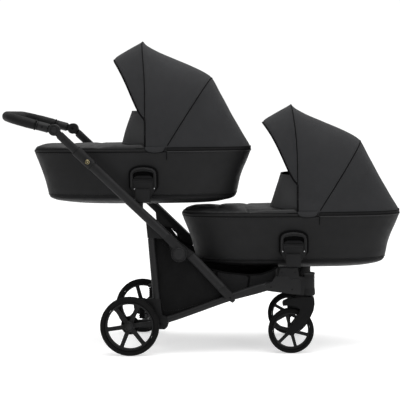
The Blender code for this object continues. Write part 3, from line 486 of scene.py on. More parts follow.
def slab(points, y0, y1, bevel=0.0015, seg=3, angle=28.0, holes=()):
    """A flat outline in the X-Z plane, thick from y0 to y1, with rounded edges."""
    bm = bmesh.new()
    loops = []
    for loop in (points, *holes):
        a = [bm.verts.new((x, y0, z)) for x, z in loop]
        b = [bm.verts.new((x, y1, z)) for x, z in loop]
        n = len(a)
        loops.append((a, b))
        for i in range(n):
            bm.faces.new((a[i], a[(i + 1) % n], b[(i + 1) % n], b[i]))
    for which in (0, 1):
        if len(loops) == 1:
            bm.faces.new(loops[0][which])
        else:
            edges = []
            for pair in loops:
                ring = pair[which]
                for i in range(len(ring)):
                    edges.append(bm.edges.get((ring[i], ring[(i + 1) % len(ring)])))
            bmesh.ops.triangle_fill(bm, use_beauty=True, use_dissolve=True, edges=edges)
    bmesh.ops.recalc_face_normals(bm, faces=bm.faces)
    if bevel:
        edges = [e for e in bm.edges if len(e.link_faces) == 2 and e.calc_face_angle(0) > math.radians(angle)]
        bmesh.ops.bevel(bm, geom=edges, offset=bevel, offset_type="OFFSET", segments=seg, profile=0.55, affect="EDGES", clamp_overlap=True)
    bm.verts.index_update()
    out = [tuple(v.co) for v in bm.verts], [tuple(v.index for v in f.verts) for f in bm.faces]
    bm.free()
    return out


def fine(node, mat, width=0.0009, seg=2, angle=30.0, sharp=40.0, also=()):
    """A hard CAD node with rounded edges, in place of the node."""
    src = frame["nodes"][node]
    me = src.data.copy()
    ob = bpy.data.objects.new(node + "_fine", me)
    bpy.context.scene.collection.objects.link(ob)
    m = ob.modifiers.new("weld", "WELD")
    m.merge_threshold = 0.00001
    m = ob.modifiers.new("flat", "DECIMATE")
    m.decimate_type = "DISSOLVE"
    m.angle_limit = math.radians(0.6)
    if width:
        m = ob.modifiers.new("edge", "BEVEL")
        m.width = width
        m.segments = seg
        m.limit_method = "ANGLE"
        m.angle_limit = math.radians(angle)
        m.use_clamp_overlap = True
        m.miter_outer = "MITER_ARC"
    bake(ob)
    me = ob.data
    me.materials.clear()
    me.materials.append(MAT[mat])
    me.polygons.foreach_set("material_index", [0] * len(me.polygons))
    me.shade_smooth()
    me.set_sharp_from_angle(angle=math.radians(sharp))
    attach(ob, src["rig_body"])
    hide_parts(node)
    return ob


def bake(ob):
    """Applies an object's modifiers to its mesh."""
    bpy.context.view_layer.update()
    dg = bpy.context.evaluated_depsgraph_get()
    me = bpy.data.meshes.new_from_object(ob.evaluated_get(dg), depsgraph=dg)
    ob.modifiers.clear()
    ob.data = me
    if me.has_custom_normals:
        bm = bmesh.new()
        bm.from_mesh(me)
        bm.to_mesh(me)
        bm.free()
        for a in list(me.attributes):
            if a.name == "custom_normal":
                me.attributes.remove(a)
    return ob


def repaint(node, mat):
    """A CAD node that stays, with a better material."""
    ob = frame["nodes"][node]
    if not ob.material_slots:
        ob.data.materials.append(MAT[mat])
    for s in ob.material_slots:
        s.material = MAT[mat]
    return ob


def resample(path, n=None, step=None, closed=False):
    path = np.asarray(path, float)
    if closed:
        path = np.concatenate([path, path[:1]])
    length = np.concatenate([[0], np.cumsum(np.linalg.norm(np.diff(path, axis=0), axis=1))])
    if n is None:
        n = max(2, int(round(length[-1] / step)) + (0 if closed else 1))
    at = np.linspace(0, length[-1], n, endpoint=not closed)
    return np.column_stack([np.interp(at, length, path[:, k]) for k in range(3)])


def stitches(path, lift=None, step=0.0080, length=0.0052, r=0.0005, closed=False):
    """Short threads along a path."""
    line = resample(path, step=step, closed=closed)
    n = len(line)
    points, faces, count = [], [], 0
    for i in range(n - (0 if closed else 1)):
        a, b = line[i], line[(i + 1) % n]
        d = unit(b - a)
        m = (a + b) / 2
        p, f = tube([m - d * length / 2, m - d * length * 0.3, m + d * length * 0.3, m + d * length / 2], [r * 0.4, r, r, r * 0.4], sides=5)
        points.append(p)
        faces += [tuple(k + count for k in g) for g in f]
        count += len(p)
    return np.concatenate(points), faces


def wobble(p, scale, amount, seed=0.0):
    return amount * noise.noise(Vector((p[0] * scale[0] + seed, p[1] * scale[1] + seed * 1.7, p[2] * scale[2] - seed)))


def thicken(ob, thickness, offset):
    m = ob.modifiers.new("thick", "SOLIDIFY")
    m.thickness = thickness
    m.offset = offset
    m.use_even_offset = True
    m.use_quality_normals = True
    return m


def puff(shell, pinned, voxel=0.006, pressure=4.0, shrink=-0.02, cap=0.010, frames=20, quality=5, stiff=12.0, bend=0.6):
    """Swells a closed pad with cloth simulation. pinned(points) gives how firmly each point is held, from 0 to 1."""
    scene = bpy.context.scene
    me = bpy.data.meshes.new("pad")
    me.from_pydata([tuple(p) for p in shell[0]], [], shell[1])
    bm = bmesh.new()
    bm.from_mesh(me)
    bmesh.ops.recalc_face_normals(bm, faces=bm.faces)
    bm.to_mesh(me)
    bm.free()
    ob = bpy.data.objects.new("pad", me)
    scene.collection.objects.link(ob)
    m = ob.modifiers.new("voxel", "REMESH")
    m.mode = "VOXEL"
    m.voxel_size = voxel
    bake(ob)
    count = len(ob.data.vertices)
    rest = np.zeros(count * 3)
    ob.data.vertices.foreach_get("co", rest)
    rest = rest.reshape(-1, 3)
    group = ob.vertex_groups.new(name="held")
    for i, w in enumerate(pinned(rest)):
        if w > 0:
            group.add([i], float(w), "REPLACE")
    m = ob.modifiers.new("cloth", "CLOTH")
    c = m.settings
    c.quality = quality
    c.mass = 0.3
    c.tension_stiffness = c.compression_stiffness = stiff
    c.shear_stiffness = stiff * 0.6
    c.bending_stiffness = bend
    c.use_pressure = True
    c.uniform_pressure_force = pressure
    c.vertex_group_mass = "held"
    c.shrink_min = shrink
    c.effector_weights.gravity = 0
    m.collision_settings.use_collision = False
    m.point_cache.frame_start = 1
    m.point_cache.frame_end = frames + 2
    for f in range(1, frames + 1):
        scene.frame_set(f)
    dg = bpy.context.evaluated_depsgraph_get()
    out = bpy.data.meshes.new_from_object(ob.evaluated_get(dg), depsgraph=dg)
    done = np.zeros(count * 3)
    out.vertices.foreach_get("co", done)
    done = done.reshape(-1, 3)
    ob.modifiers.clear()
    scene.frame_set(1)
    move = done - rest
    size = np.linalg.norm(move, axis=1)
    move *= (np.minimum(size, cap) / np.maximum(size, 1e-9))[:, None]
    rest = rest + move
    faces = [tuple(p.vertices) for p in ob.data.polygons]
    bpy.data.objects.remove(ob, do_unlink=True)
    return rest, faces


def smoothed(shell, keep=None, rounds=2, amount=0.5):
    """Evens out a mesh's points; keep is 1 where a point stays put."""
    points, faces = shell
    points = np.array(points, float)
    edges = set()
    for f in faces:
        for a, b in zip(f, f[1:] + f[:1]):
            edges.add((min(a, b), max(a, b)))
    e = np.array(sorted(edges))
    for _ in range(rounds):
        total = np.zeros_like(points)
        near = np.zeros(len(points))
        np.add.at(total, e[:, 0], points[e[:, 1]])
        np.add.at(total, e[:, 1], points[e[:, 0]])
        np.add.at(near, e[:, 0], 1)
        np.add.at(near, e[:, 1], 1)
        mean = total / np.maximum(near, 1)[:, None]
        w = amount * (1 - (keep if keep is not None else 0))
        points += (mean - points) * (w[:, None] if keep is not None else w)
    return points, faces


def subdivided(shell):
    """One round of smooth subdivision."""
    me = bpy.data.meshes.new("sub")
    me.from_pydata([tuple(p) for p in shell[0]], [], shell[1])
    ob = bpy.data.objects.new("sub", me)
    bpy.context.scene.collection.objects.link(ob)
    m = ob.modifiers.new("sub", "SUBSURF")
    m.levels = m.render_levels = 1
    bake(ob)
    points = np.zeros(len(ob.data.vertices) * 3)
    ob.data.vertices.foreach_get("co", points)
    faces = [tuple(p.vertices) for p in ob.data.polygons]
    bpy.data.objects.remove(ob, do_unlink=True)
    return points.reshape(-1, 3), faces


# ================================================================ shared dimensions
REAR_R, REAR_Y, REAR_TYRE = 0.115, 0.280, 0.040
FRONT_R, FRONT_TYRE = 0.089, 0.036
CASTER_X, CASTER_Y, TRAIL = 0.694, 0.225, 0.069
WX = CASTER_X - TRAIL
FRAME_IN, FRAME_OUT = 0.2215, 0.2445
FRAME_Y = (FRAME_IN + FRAME_OUT) / 2
PUSH_Y = 0.257
FOLD = vec(0.194, 0, 0.3935)
KNOB = vec(-0.285, 0, 0.877)
DOWN = vec(math.cos(math.radians(43.88)), 0, -math.sin(math.radians(43.88)))
ABOVE = vec(math.sin(math.radians(43.88)), 0, math.cos(math.radians(43.88)))
ARM = vec(-math.cos(math.radians(15.3)), 0, math.sin(math.radians(15.3)))
ARM_REACH, GRIP_R, HANDLE_Y = 0.2095, 0.0195, 0.2465
SUSP = vec(0.120, 0, 0.118)
BEAM = vec(0.045, 0, 0.115)
COT_XC, COT_A, COT_B = 0.0360, 0.4340, 0.2065
PLATE_X = {"upper": 0.0542, "lower": 0.0445}
POST_DX = -0.0125
BOW = vec(COT_XC + 0.0362, 0, 0.695)
SIDES = (("right", -1), ("left", 1))
COTS = (("upper", ZERO, "upper_cot"), ("lower", STEP, "chassis"))
Y = vec(0, 1, 0)


def on_push(s, off=0.0, y=0.0):
    p = KNOB + DOWN * s + ABOVE * off
    return vec(p[0], y, p[2])


def on_handle(a, y, lift=0.0):
    p = KNOB + ARM * a
    return vec(p[0] + lift * math.sin(math.radians(15.3)), y, p[2] + lift * math.cos(math.radians(15.3)))


# ================================================================ carrycot plan and profile
TUB = np.array([(0.5778, -0.1150, 0.2050, 0.0600), (0.5818, -0.2200, 0.3200, 0.1120), (0.5921, -0.3030, 0.3790, 0.1580),
                (0.5976, -0.3234, 0.3965, 0.1720), (0.6059, -0.3397, 0.4080, 0.1830), (0.6304, -0.3495, 0.4165, 0.1890),
                (0.6713, -0.3592, 0.4250, 0.1940), (0.7081, -0.3703, 0.4375, 0.1980), (0.7448, -0.3831, 0.4545, 0.2020),
                (0.7860, -0.3990, 0.4708, 0.2070), (0.7970, -0.3980, 0.4700, 0.2065)])


def curve_through(rows, count):
    """A smooth curve through rows of numbers, in even steps of its own length."""
    rows = np.asarray(rows, float)
    ext = np.vstack([2 * rows[0] - rows[1], rows, 2 * rows[-1] - rows[-2]])
    out = []
    for i in range(1, len(ext) - 2):
        p0, p1, p2, p3 = ext[i - 1:i + 3]
        for k in range(24):
            t = k / 24
            out.append(0.5 * (2 * p1 + (p2 - p0) * t + (2 * p0 - 5 * p1 + 4 * p2 - p3) * t ** 2 + (3 * p1 - p0 - 3 * p2 + p3) * t ** 3))
    out.append(rows[-1])
    out = np.array(out)
    along = np.concatenate([[0], np.cumsum(np.linalg.norm(np.diff(out, axis=0), axis=1))])
    at = np.linspace(0, along[-1], count)
    return np.column_stack([np.interp(at, along, out[:, k]) for k in range(out.shape[1])])


TUB_FINE = curve_through(TUB, 400)


def tub_at(z):
    """Middle, half length and half width of the tub's outside at height z."""
    row = [np.interp(z, TUB_FINE[:, 0], TUB_FINE[:, k]) for k in (1, 2, 3)]
    return (row[0] + row[1]) / 2, (row[1] - row[0]) / 2, row[2]


def plan(xc, a, b, z, count=168, n=3.0, grow=0.0):
    """Evenly spaced points round a carrycot's plan, from the front middle over the left side, grown outwards by grow."""
    t = np.linspace(0, TAU, 1441)[:-1]
    c, s = np.cos(t), np.sin(t)
    x = xc + a * np.sign(c) * np.abs(c) ** (2 / n)
    y = b * np.sign(s) * np.abs(s) ** (2 / n)
    line = np.column_stack([x, y, np.full(len(x), z)])
    line = resample(line, n=count, closed=True)
    if grow:
        line = line + outward(line) * grow
    return line


def outward(line):
    d = np.roll(line, -1, 0) - np.roll(line, 1, 0)
    out = np.column_stack([d[:, 1], -d[:, 0], np.zeros(len(d))])
    return out / (np.linalg.norm(out, axis=1)[:, None] + 1e-12)


def around(z, grow=0.0, count=168):
    xc, a, b = tub_at(z)
    return plan(xc, a, b, z, count, grow=grow)


def band(profile, count=220, part=None, at=None):
    """A strip with the given (grow, z) section, run round the carrycot. part(x, y) says where it runs."""
    rings = [(around(z if at is None else at, grow, count), z) for grow, z in profile]
    rows = []
    for ring, z in rings:
        ring = ring.copy()
        ring[:, 2] = z
        rows.append(ring)
    stack = np.array(rows)            # profile, round, xyz
    if part is None:
        return [np.array([stack[j, i] for j in range(len(profile))]) for i in range(count)], True
    keep = [i for i in range(count) if part(*stack[0, i, :2])]
    # one run of neighbours, split where the plan starts
    start = next((k for k in range(len(keep)) if (keep[k] - 1) % count not in keep), 0)
    keep = keep[start:] + keep[:start]
    return [np.array([stack[j, i] for j in range(len(profile))]) for i in keep], False


def loop_of(rows, closed):
    """Turns cross-sections into a closed strip."""
    n = len(rows[0])
    if closed:
        points = np.concatenate(rows)
        faces = []
        for k in range(len(rows)):
            j = (k + 1) % len(rows)
            for i in range(n):
                m = (i + 1) % n
                faces.append((k * n + i, k * n + m, j * n + m, j * n + i))
        return points, faces
    return grid(rows, closed=True, ends=(True, True))


SEAM_HI, SEAM_LO = 0.6180, 0.6092
TOP_SEAM = 0.7880


def tub_shell(count=176):
    """Outer wall with sewn seams, soft rim, lining and floor."""
    zs = list(TUB_FINE[::7, 0])
    for seam in (SEAM_HI, SEAM_LO, TOP_SEAM):
        zs += [seam + d for d in (-0.0035, -0.0020, -0.0010, 0.0, 0.0010, 0.0020, 0.0035)]
    zs = sorted(z for z in set(round(z, 5) for z in zs) if 0.5779 < z <= 0.7970)
    thin = [zs[0]]
    for z in zs[1:]:
        if z - thin[-1] > 0.0006:
            thin.append(z)
    outer = []
    for z in thin:
        ring = around(z, 0.0, count)
        normal = outward(ring)
        dent = sum(-depth * math.exp(-((z - seam) / 0.0016) ** 2) for seam, depth in ((SEAM_HI, 0.0016), (SEAM_LO, 0.0014), (TOP_SEAM, 0.0012)))
        wall = min(1.0, max(0.0, (z - SEAM_HI) / 0.02)) * min(1.0, max(0.0, (TOP_SEAM - z) / 0.02))
        low = min(1.0, max(0.0, (z - 0.585) / 0.01)) * min(1.0, max(0.0, (SEAM_LO - z) / 0.006))
        for i in range(count):
            p = ring[i]
            soft = wall * (wobble(p, (9, 9, 5), 0.0022, 3.1) + wobble(p, (26, 26, 9), 0.0009, 8.4))
            near = math.exp(-((z - SEAM_HI - 0.004) / 0.012) ** 2) + math.exp(-((z - TOP_SEAM + 0.004) / 0.012) ** 2)
            pucker = wall * near * wobble(p, (120, 120, 14), 0.0007, 1.7)
            ring[i] = p + normal[i] * (dent + soft + pucker + low * wobble(p, (16, 16, 30), 0.0009, 5.0))
        outer.append(ring)
    # bottom, drawn in to the middle
    xc, a, b = tub_at(0.5778)
    under = [plan(xc, a * s, b * s, 0.5778 + 0.0004 * s, count) for s in (0.25, 0.5, 0.75)]
    rim = []
    for q in (25, 55, 90, 125, 155):
        q = math.radians(q)
        rim.append(plan(COT_XC, COT_A - 0.0045 + 0.0045 * math.cos(q), COT_B - 0.0045 + 0.0045 * math.cos(q), 0.7962 + 0.0018 * math.sin(q), count))
    inner = []
    for z in np.linspace(0.7900, 0.6160, 22):
        ring = around(z, 0.0, count)
        normal = outward(ring)
        sag = 0.0093 + 0.0018 * math.sin(math.pi * (0.79 - z) / 0.174)
        inner.append(ring - normal * sag)
    floor = [plan(0.0340, 0.3620 * s, 0.1700 * s, 0.6080, count) for s in (1.0, 0.7, 0.4)]
    skin = grid(under + outer + rim[:3], closed=True, ends=(True, False))
    lining = grid([rim[2]] + rim[3:] + inner + floor, closed=True, ends=(False, True))
    return skin, lining


def rim_y(x, grow=0.0):
    t = min(1.0, abs(x - COT_XC) / COT_A)
    return COT_B * max(0.0, 1 - t ** 3) ** (1 / 3) + grow


# ================================================================ apron
CREASES = (-0.2560, -0.1480)
APRON_END = -0.0440


def apron_start():
    """The flat pad of the apron, a little smaller than it swells to."""
    rows = []
    xs = COT_XC - COT_A + (COT_A + APRON_END + 0.006 - COT_XC) * np.linspace(0.012, 1, 90) ** 1.35
    top, low = [], []
    m = 60
    for x in xs:
        half = max(0.012, rim_y(x, 0.0002))
        t_row, l_row = [], []
        for i in range(m + 1):
            v = -1 + 2 * i / m
            v = math.copysign(abs(v) ** 0.85, v)
            y = half * v
            # the free edge curves back towards the head at its ends
            bend = max(0.0, (x - (APRON_END - 0.12)) / 0.126) ** 2
            px = x + 0.050 * (y / 0.19) ** 2 * bend
            edge_in = min((half - abs(y)), (x - xs[0]) * 1.3 + 0.0, 1.0)
            e = min(1.0, max(0.0, edge_in / 0.020))
            roll = math.sqrt(max(0.0, 1 - (1 - e) ** 2))
            crown = (1 - abs(v) ** 4)
            rise = 0.0072 * roll + 0.0100 * crown * min(1.0, (x - xs[0]) / 0.05) ** 0.7
            t_row.append((px, y, 0.7995 + rise))
            l_row.append((px, y, 0.7992))
        top.append(t_row)
        low.append(l_row)
    ring_rows = []
    for t_row, l_row in zip(top, low):
        ring_rows.append(np.array(t_row + [(p[0], p[1], p[2] - 0.0001) for p in reversed(l_row)]))
    return grid(ring_rows, closed=True, ends=(True, True))


def apron_pins(points):
    out = np.zeros(len(points))
    for i, p in enumerate(points):
        half = rim_y(p[0], 0.0002)
        bend = max(0.0, (p[0] - (APRON_END - 0.12)) / 0.126) ** 2
        front = APRON_END + 0.006 + 0.050 * (p[1] / 0.19) ** 2
        edge = min(half - abs(p[1]), (p[0] - (COT_XC - COT_A)) * 1.0, front - p[0])
        w = 1.0 if edge < 0.006 else 0.0
        if p[2] < 0.8003:
            w = 1.0
        for c in CREASES:
            if abs(p[0] - c - 0.012 * (p[1] / 0.19) ** 2) < 0.0035:
                w = max(w, 0.75)
        out[i] = w
    return out


def apron_finish(shell):
    points, faces = shell
    points = np.array(points)
    for i, p in enumerate(points):
        if p[2] > 0.8003:
            edge = rim_y(p[0]) - abs(p[1])
            for c in CREASES:
                d = p[0] - c - 0.012 * (p[1] / 0.19) ** 2
                points[i, 2] -= 0.0012 * math.exp(-(d / 0.0032) ** 2) * min(1.0, max(0.0, edge / 0.01))
            points[i, 2] += wobble(p, (16, 22, 10), 0.0009, 2.2) * min(1.0, max(0.0, edge / 0.02))
    return points, faces


apron_shell = apron_finish(smoothed(subdivided(puff(apron_start(), apron_pins, voxel=0.0060, pressure=3.0, shrink=-0.012, cap=0.0045)), rounds=3, amount=0.5))


# ================================================================ mattress
def mattress_start():
    rows = []
    for z, g in ((0.6085, -0.020), (0.6100, -0.011), (0.6140, -0.0075), (0.6200, -0.006), (0.6280, -0.006), (0.6340, -0.008), (0.6375, -0.013), (0.6385, -0.022)):
        rows.append(plan(0.0340, 0.3630 + g, 0.1710 + g, z, 96))
    rows.append(plan(0.0340, 0.20, 0.08, 0.6395, 96))
    return grid([plan(0.0340, 0.20, 0.08, 0.6085, 96)] + rows, closed=True, ends=(True, True))


def mattress_pins(points):
    out = (points[:, 2] < 0.6100).astype(float)
    for i, p in enumerate(points):
        gx = (p[0] - 0.034) / 0.075
        gy = p[1] / 0.075
        if p[2] > 0.634 and abs(gx - round(gx)) < 0.05 and abs(gy - round(gy)) < 0.05:
            out[i] = 1.0
    return out


mattress_shell = smoothed(subdivided(puff(mattress_start(), mattress_pins, voxel=0.0065, pressure=4.0, shrink=-0.015, cap=0.0075)), rounds=1, amount=0.4)


# ================================================================ hood
BASE_Z = 0.7988
ACROSS = 121


def arch(base_x, base_z, half, top_x, top_z, n=2.6, count=ACROSS):
    t = np.linspace(0, math.pi, count)
    up = np.abs(np.sin(t)) ** (2 / n)
    c = np.cos(t)
    return np.column_stack([base_x + (top_x - base_x) * up, -half * np.sign(c) * np.abs(c) ** (2 / n), base_z + (top_z - base_z) * up])


FRONT_RIB = arch(0.0672, BASE_Z, 0.2055, 0.0405, 1.2245)
for _p in FRONT_RIB:
    _h = (_p[2] - BASE_Z) / (1.2245 - BASE_Z)
    _p[0] = 0.0612 - 0.0207 * max(0.0, (_h - 0.45) / 0.55) ** 2
REAR_RIB = arch(0.1430, BASE_Z, 0.2045, 0.3175, 1.0776)
EDGE_RIB = FRONT_RIB.copy()
for _p in EDGE_RIB:
    _h = (_p[2] - BASE_Z) / (1.2245 - BASE_Z)
    _w = max(0.0, (_h - 0.27) / 0.73) ** 0.70
    _p[0] -= 0.1156 * _w
    _p[2] -= 0.0700 * _w * _h * _h
_start = math.acos(((0.1430 - COT_XC) / (COT_A - 0.0005)) ** 1.5)
_t = _start * (1 - 2 * np.linspace(0, 1, ACROSS))
BACK_RIB = np.column_stack([COT_XC + (COT_A - 0.0005) * np.abs(np.cos(_t)) ** (2 / 3),
                            -(COT_B - 0.0005) * np.sign(np.sin(_t)) * np.abs(np.sin(_t)) ** (2 / 3), np.full(ACROSS, BASE_Z + 0.0020)])
BACK_RIB = BACK_RIB[::1]


def even(rib):
    return resample(rib, n=ACROSS)


def hood_rows():
    """Rows of the hood cloth from its front edge to the rim behind the head."""
    ribs = [even(r) for r in (EDGE_RIB, FRONT_RIB, REAR_RIB, BACK_RIB)]
    rows = []
    spans = ((ribs[0], ribs[1], 16), (ribs[1], ribs[2], 30), (ribs[2], ribs[3], 26))
    for s, (a, b, steps) in enumerate(spans):
        for k in range(steps + (1 if s == 2 else 0)):
            t = k / steps
            row = a + (b - a) * t
            across = np.sin(np.pi * np.linspace(0, 1, ACROSS))
            if s == 0:      # the visor bellies a little
                lift = float(np.interp(t, (0.0, 0.0625, 0.125, 0.25, 0.5, 0.8, 1.0), (0.0, 0.0046, 0.0060, 0.0060, 0.0046, 0.0020, 0.0)))
            elif s == 1:    # drawn tight behind the front bow, full over the rear one
                lift = float(np.interp(t, (0.0, 0.06, 0.14, 0.24, 0.36, 0.48, 0.60, 0.72, 0.82, 0.90, 0.96, 1.0),
                                       (0.0, -0.0042, -0.0060, -0.0062, -0.0046, -0.0014, 0.0026, 0.0062, 0.0080, 0.0084, 0.0070, 0.0046)))
            else:
                lift = float(np.interp(t, (0.0, 0.03, 0.08, 0.16, 0.30, 0.60, 1.0), (0.0046, 0.0032, 0.0018, 0.0008, 0.0, -0.0008, 0.0)))
            row = row + np.column_stack([lift * (-0.45 if s == 0 else 0.45) * across, np.zeros(ACROSS), lift * across])
            rows.append((row, s, t))
    # the cloth rounds the rear bow instead of folding over it
    stack = np.array([r for r, _, _ in rows])
    for _ in range(9):
        soft = stack.copy()
        for j in range(36, 58):
            w = 0.5 * min(1.0, (j - 35) / 4, (58 - j) / 4)
            soft[j] = stack[j] * (1 - w) + (stack[j - 1] + stack[j + 1]) * 0.5 * w
        stack = soft
    return [(stack[j], s, t) for j, (_, s, t) in enumerate(rows)]


def hood_cloth():
    rows = hood_rows()
    out = []
    stack = np.array([r for r, _, _ in rows])
    # outward direction of each point
    du = np.gradient(stack, axis=1)
    dv = np.gradient(stack, axis=0)
    normal = np.cross(du, dv)
    normal /= np.linalg.norm(normal, axis=2)[:, :, None] + 1e-12
    centre = vec(0.14, 0, 0.86)
    flip = np.sign(np.einsum("ijk,ijk->ij", normal, stack - centre))
    normal *= flip[:, :, None]
    for j, (row, s, t) in enumerate(rows):
        new = row.copy()
        for i in range(ACROSS):
            p = row[i]
            u = i / (ACROSS - 1)
            foot = min(u, 1 - u)
            # wires lift the cloth, seams draw it in
            gap = {0: (1 - t) * 0.115, 1: min(t, 1 - t) * 0.30, 2: t * 0.24}[s]
            ridge = 0.0012 * math.exp(-(gap / 0.010) ** 2)
            dent = -0.0010 * math.exp(-(gap / 0.0035) ** 2)
            slack = min(1.0, gap / 0.03)
            away = min(1.0, foot / 0.05)
            folds = slack * away * (wobble(p, (5, 5, 7), 0.0035, 4.0) + wobble(p, (14, 10, 16), 0.0012, 9.0))
            pull = slack * math.exp(-foot / 0.07) * min(1.0, foot / 0.012) * wobble((p[0] * 1.0, p[1] * 0.2, p[2] * 0.25), (70, 8, 8), 0.0022, 6.0)
            new[i] = p + normal[j, i] * (ridge + dent + folds + pull)
        out.append(new)
    return out, normal


HOOD_ROWS, HOOD_NORMAL = hood_cloth()
_d = unit(vec(-0.83, 0, 0.557))
_front = (vec(0.0405, 0, 1.2245) - BOW).dot(_d)
_rear = (vec(0.3175, 0, 1.0776) - BOW).dot(_d)
_s0 = (_rear - 0.4665 * _front) / (1 - 0.4665)
BLEND = (BOW + _d * _s0, BOW + _d * _front)


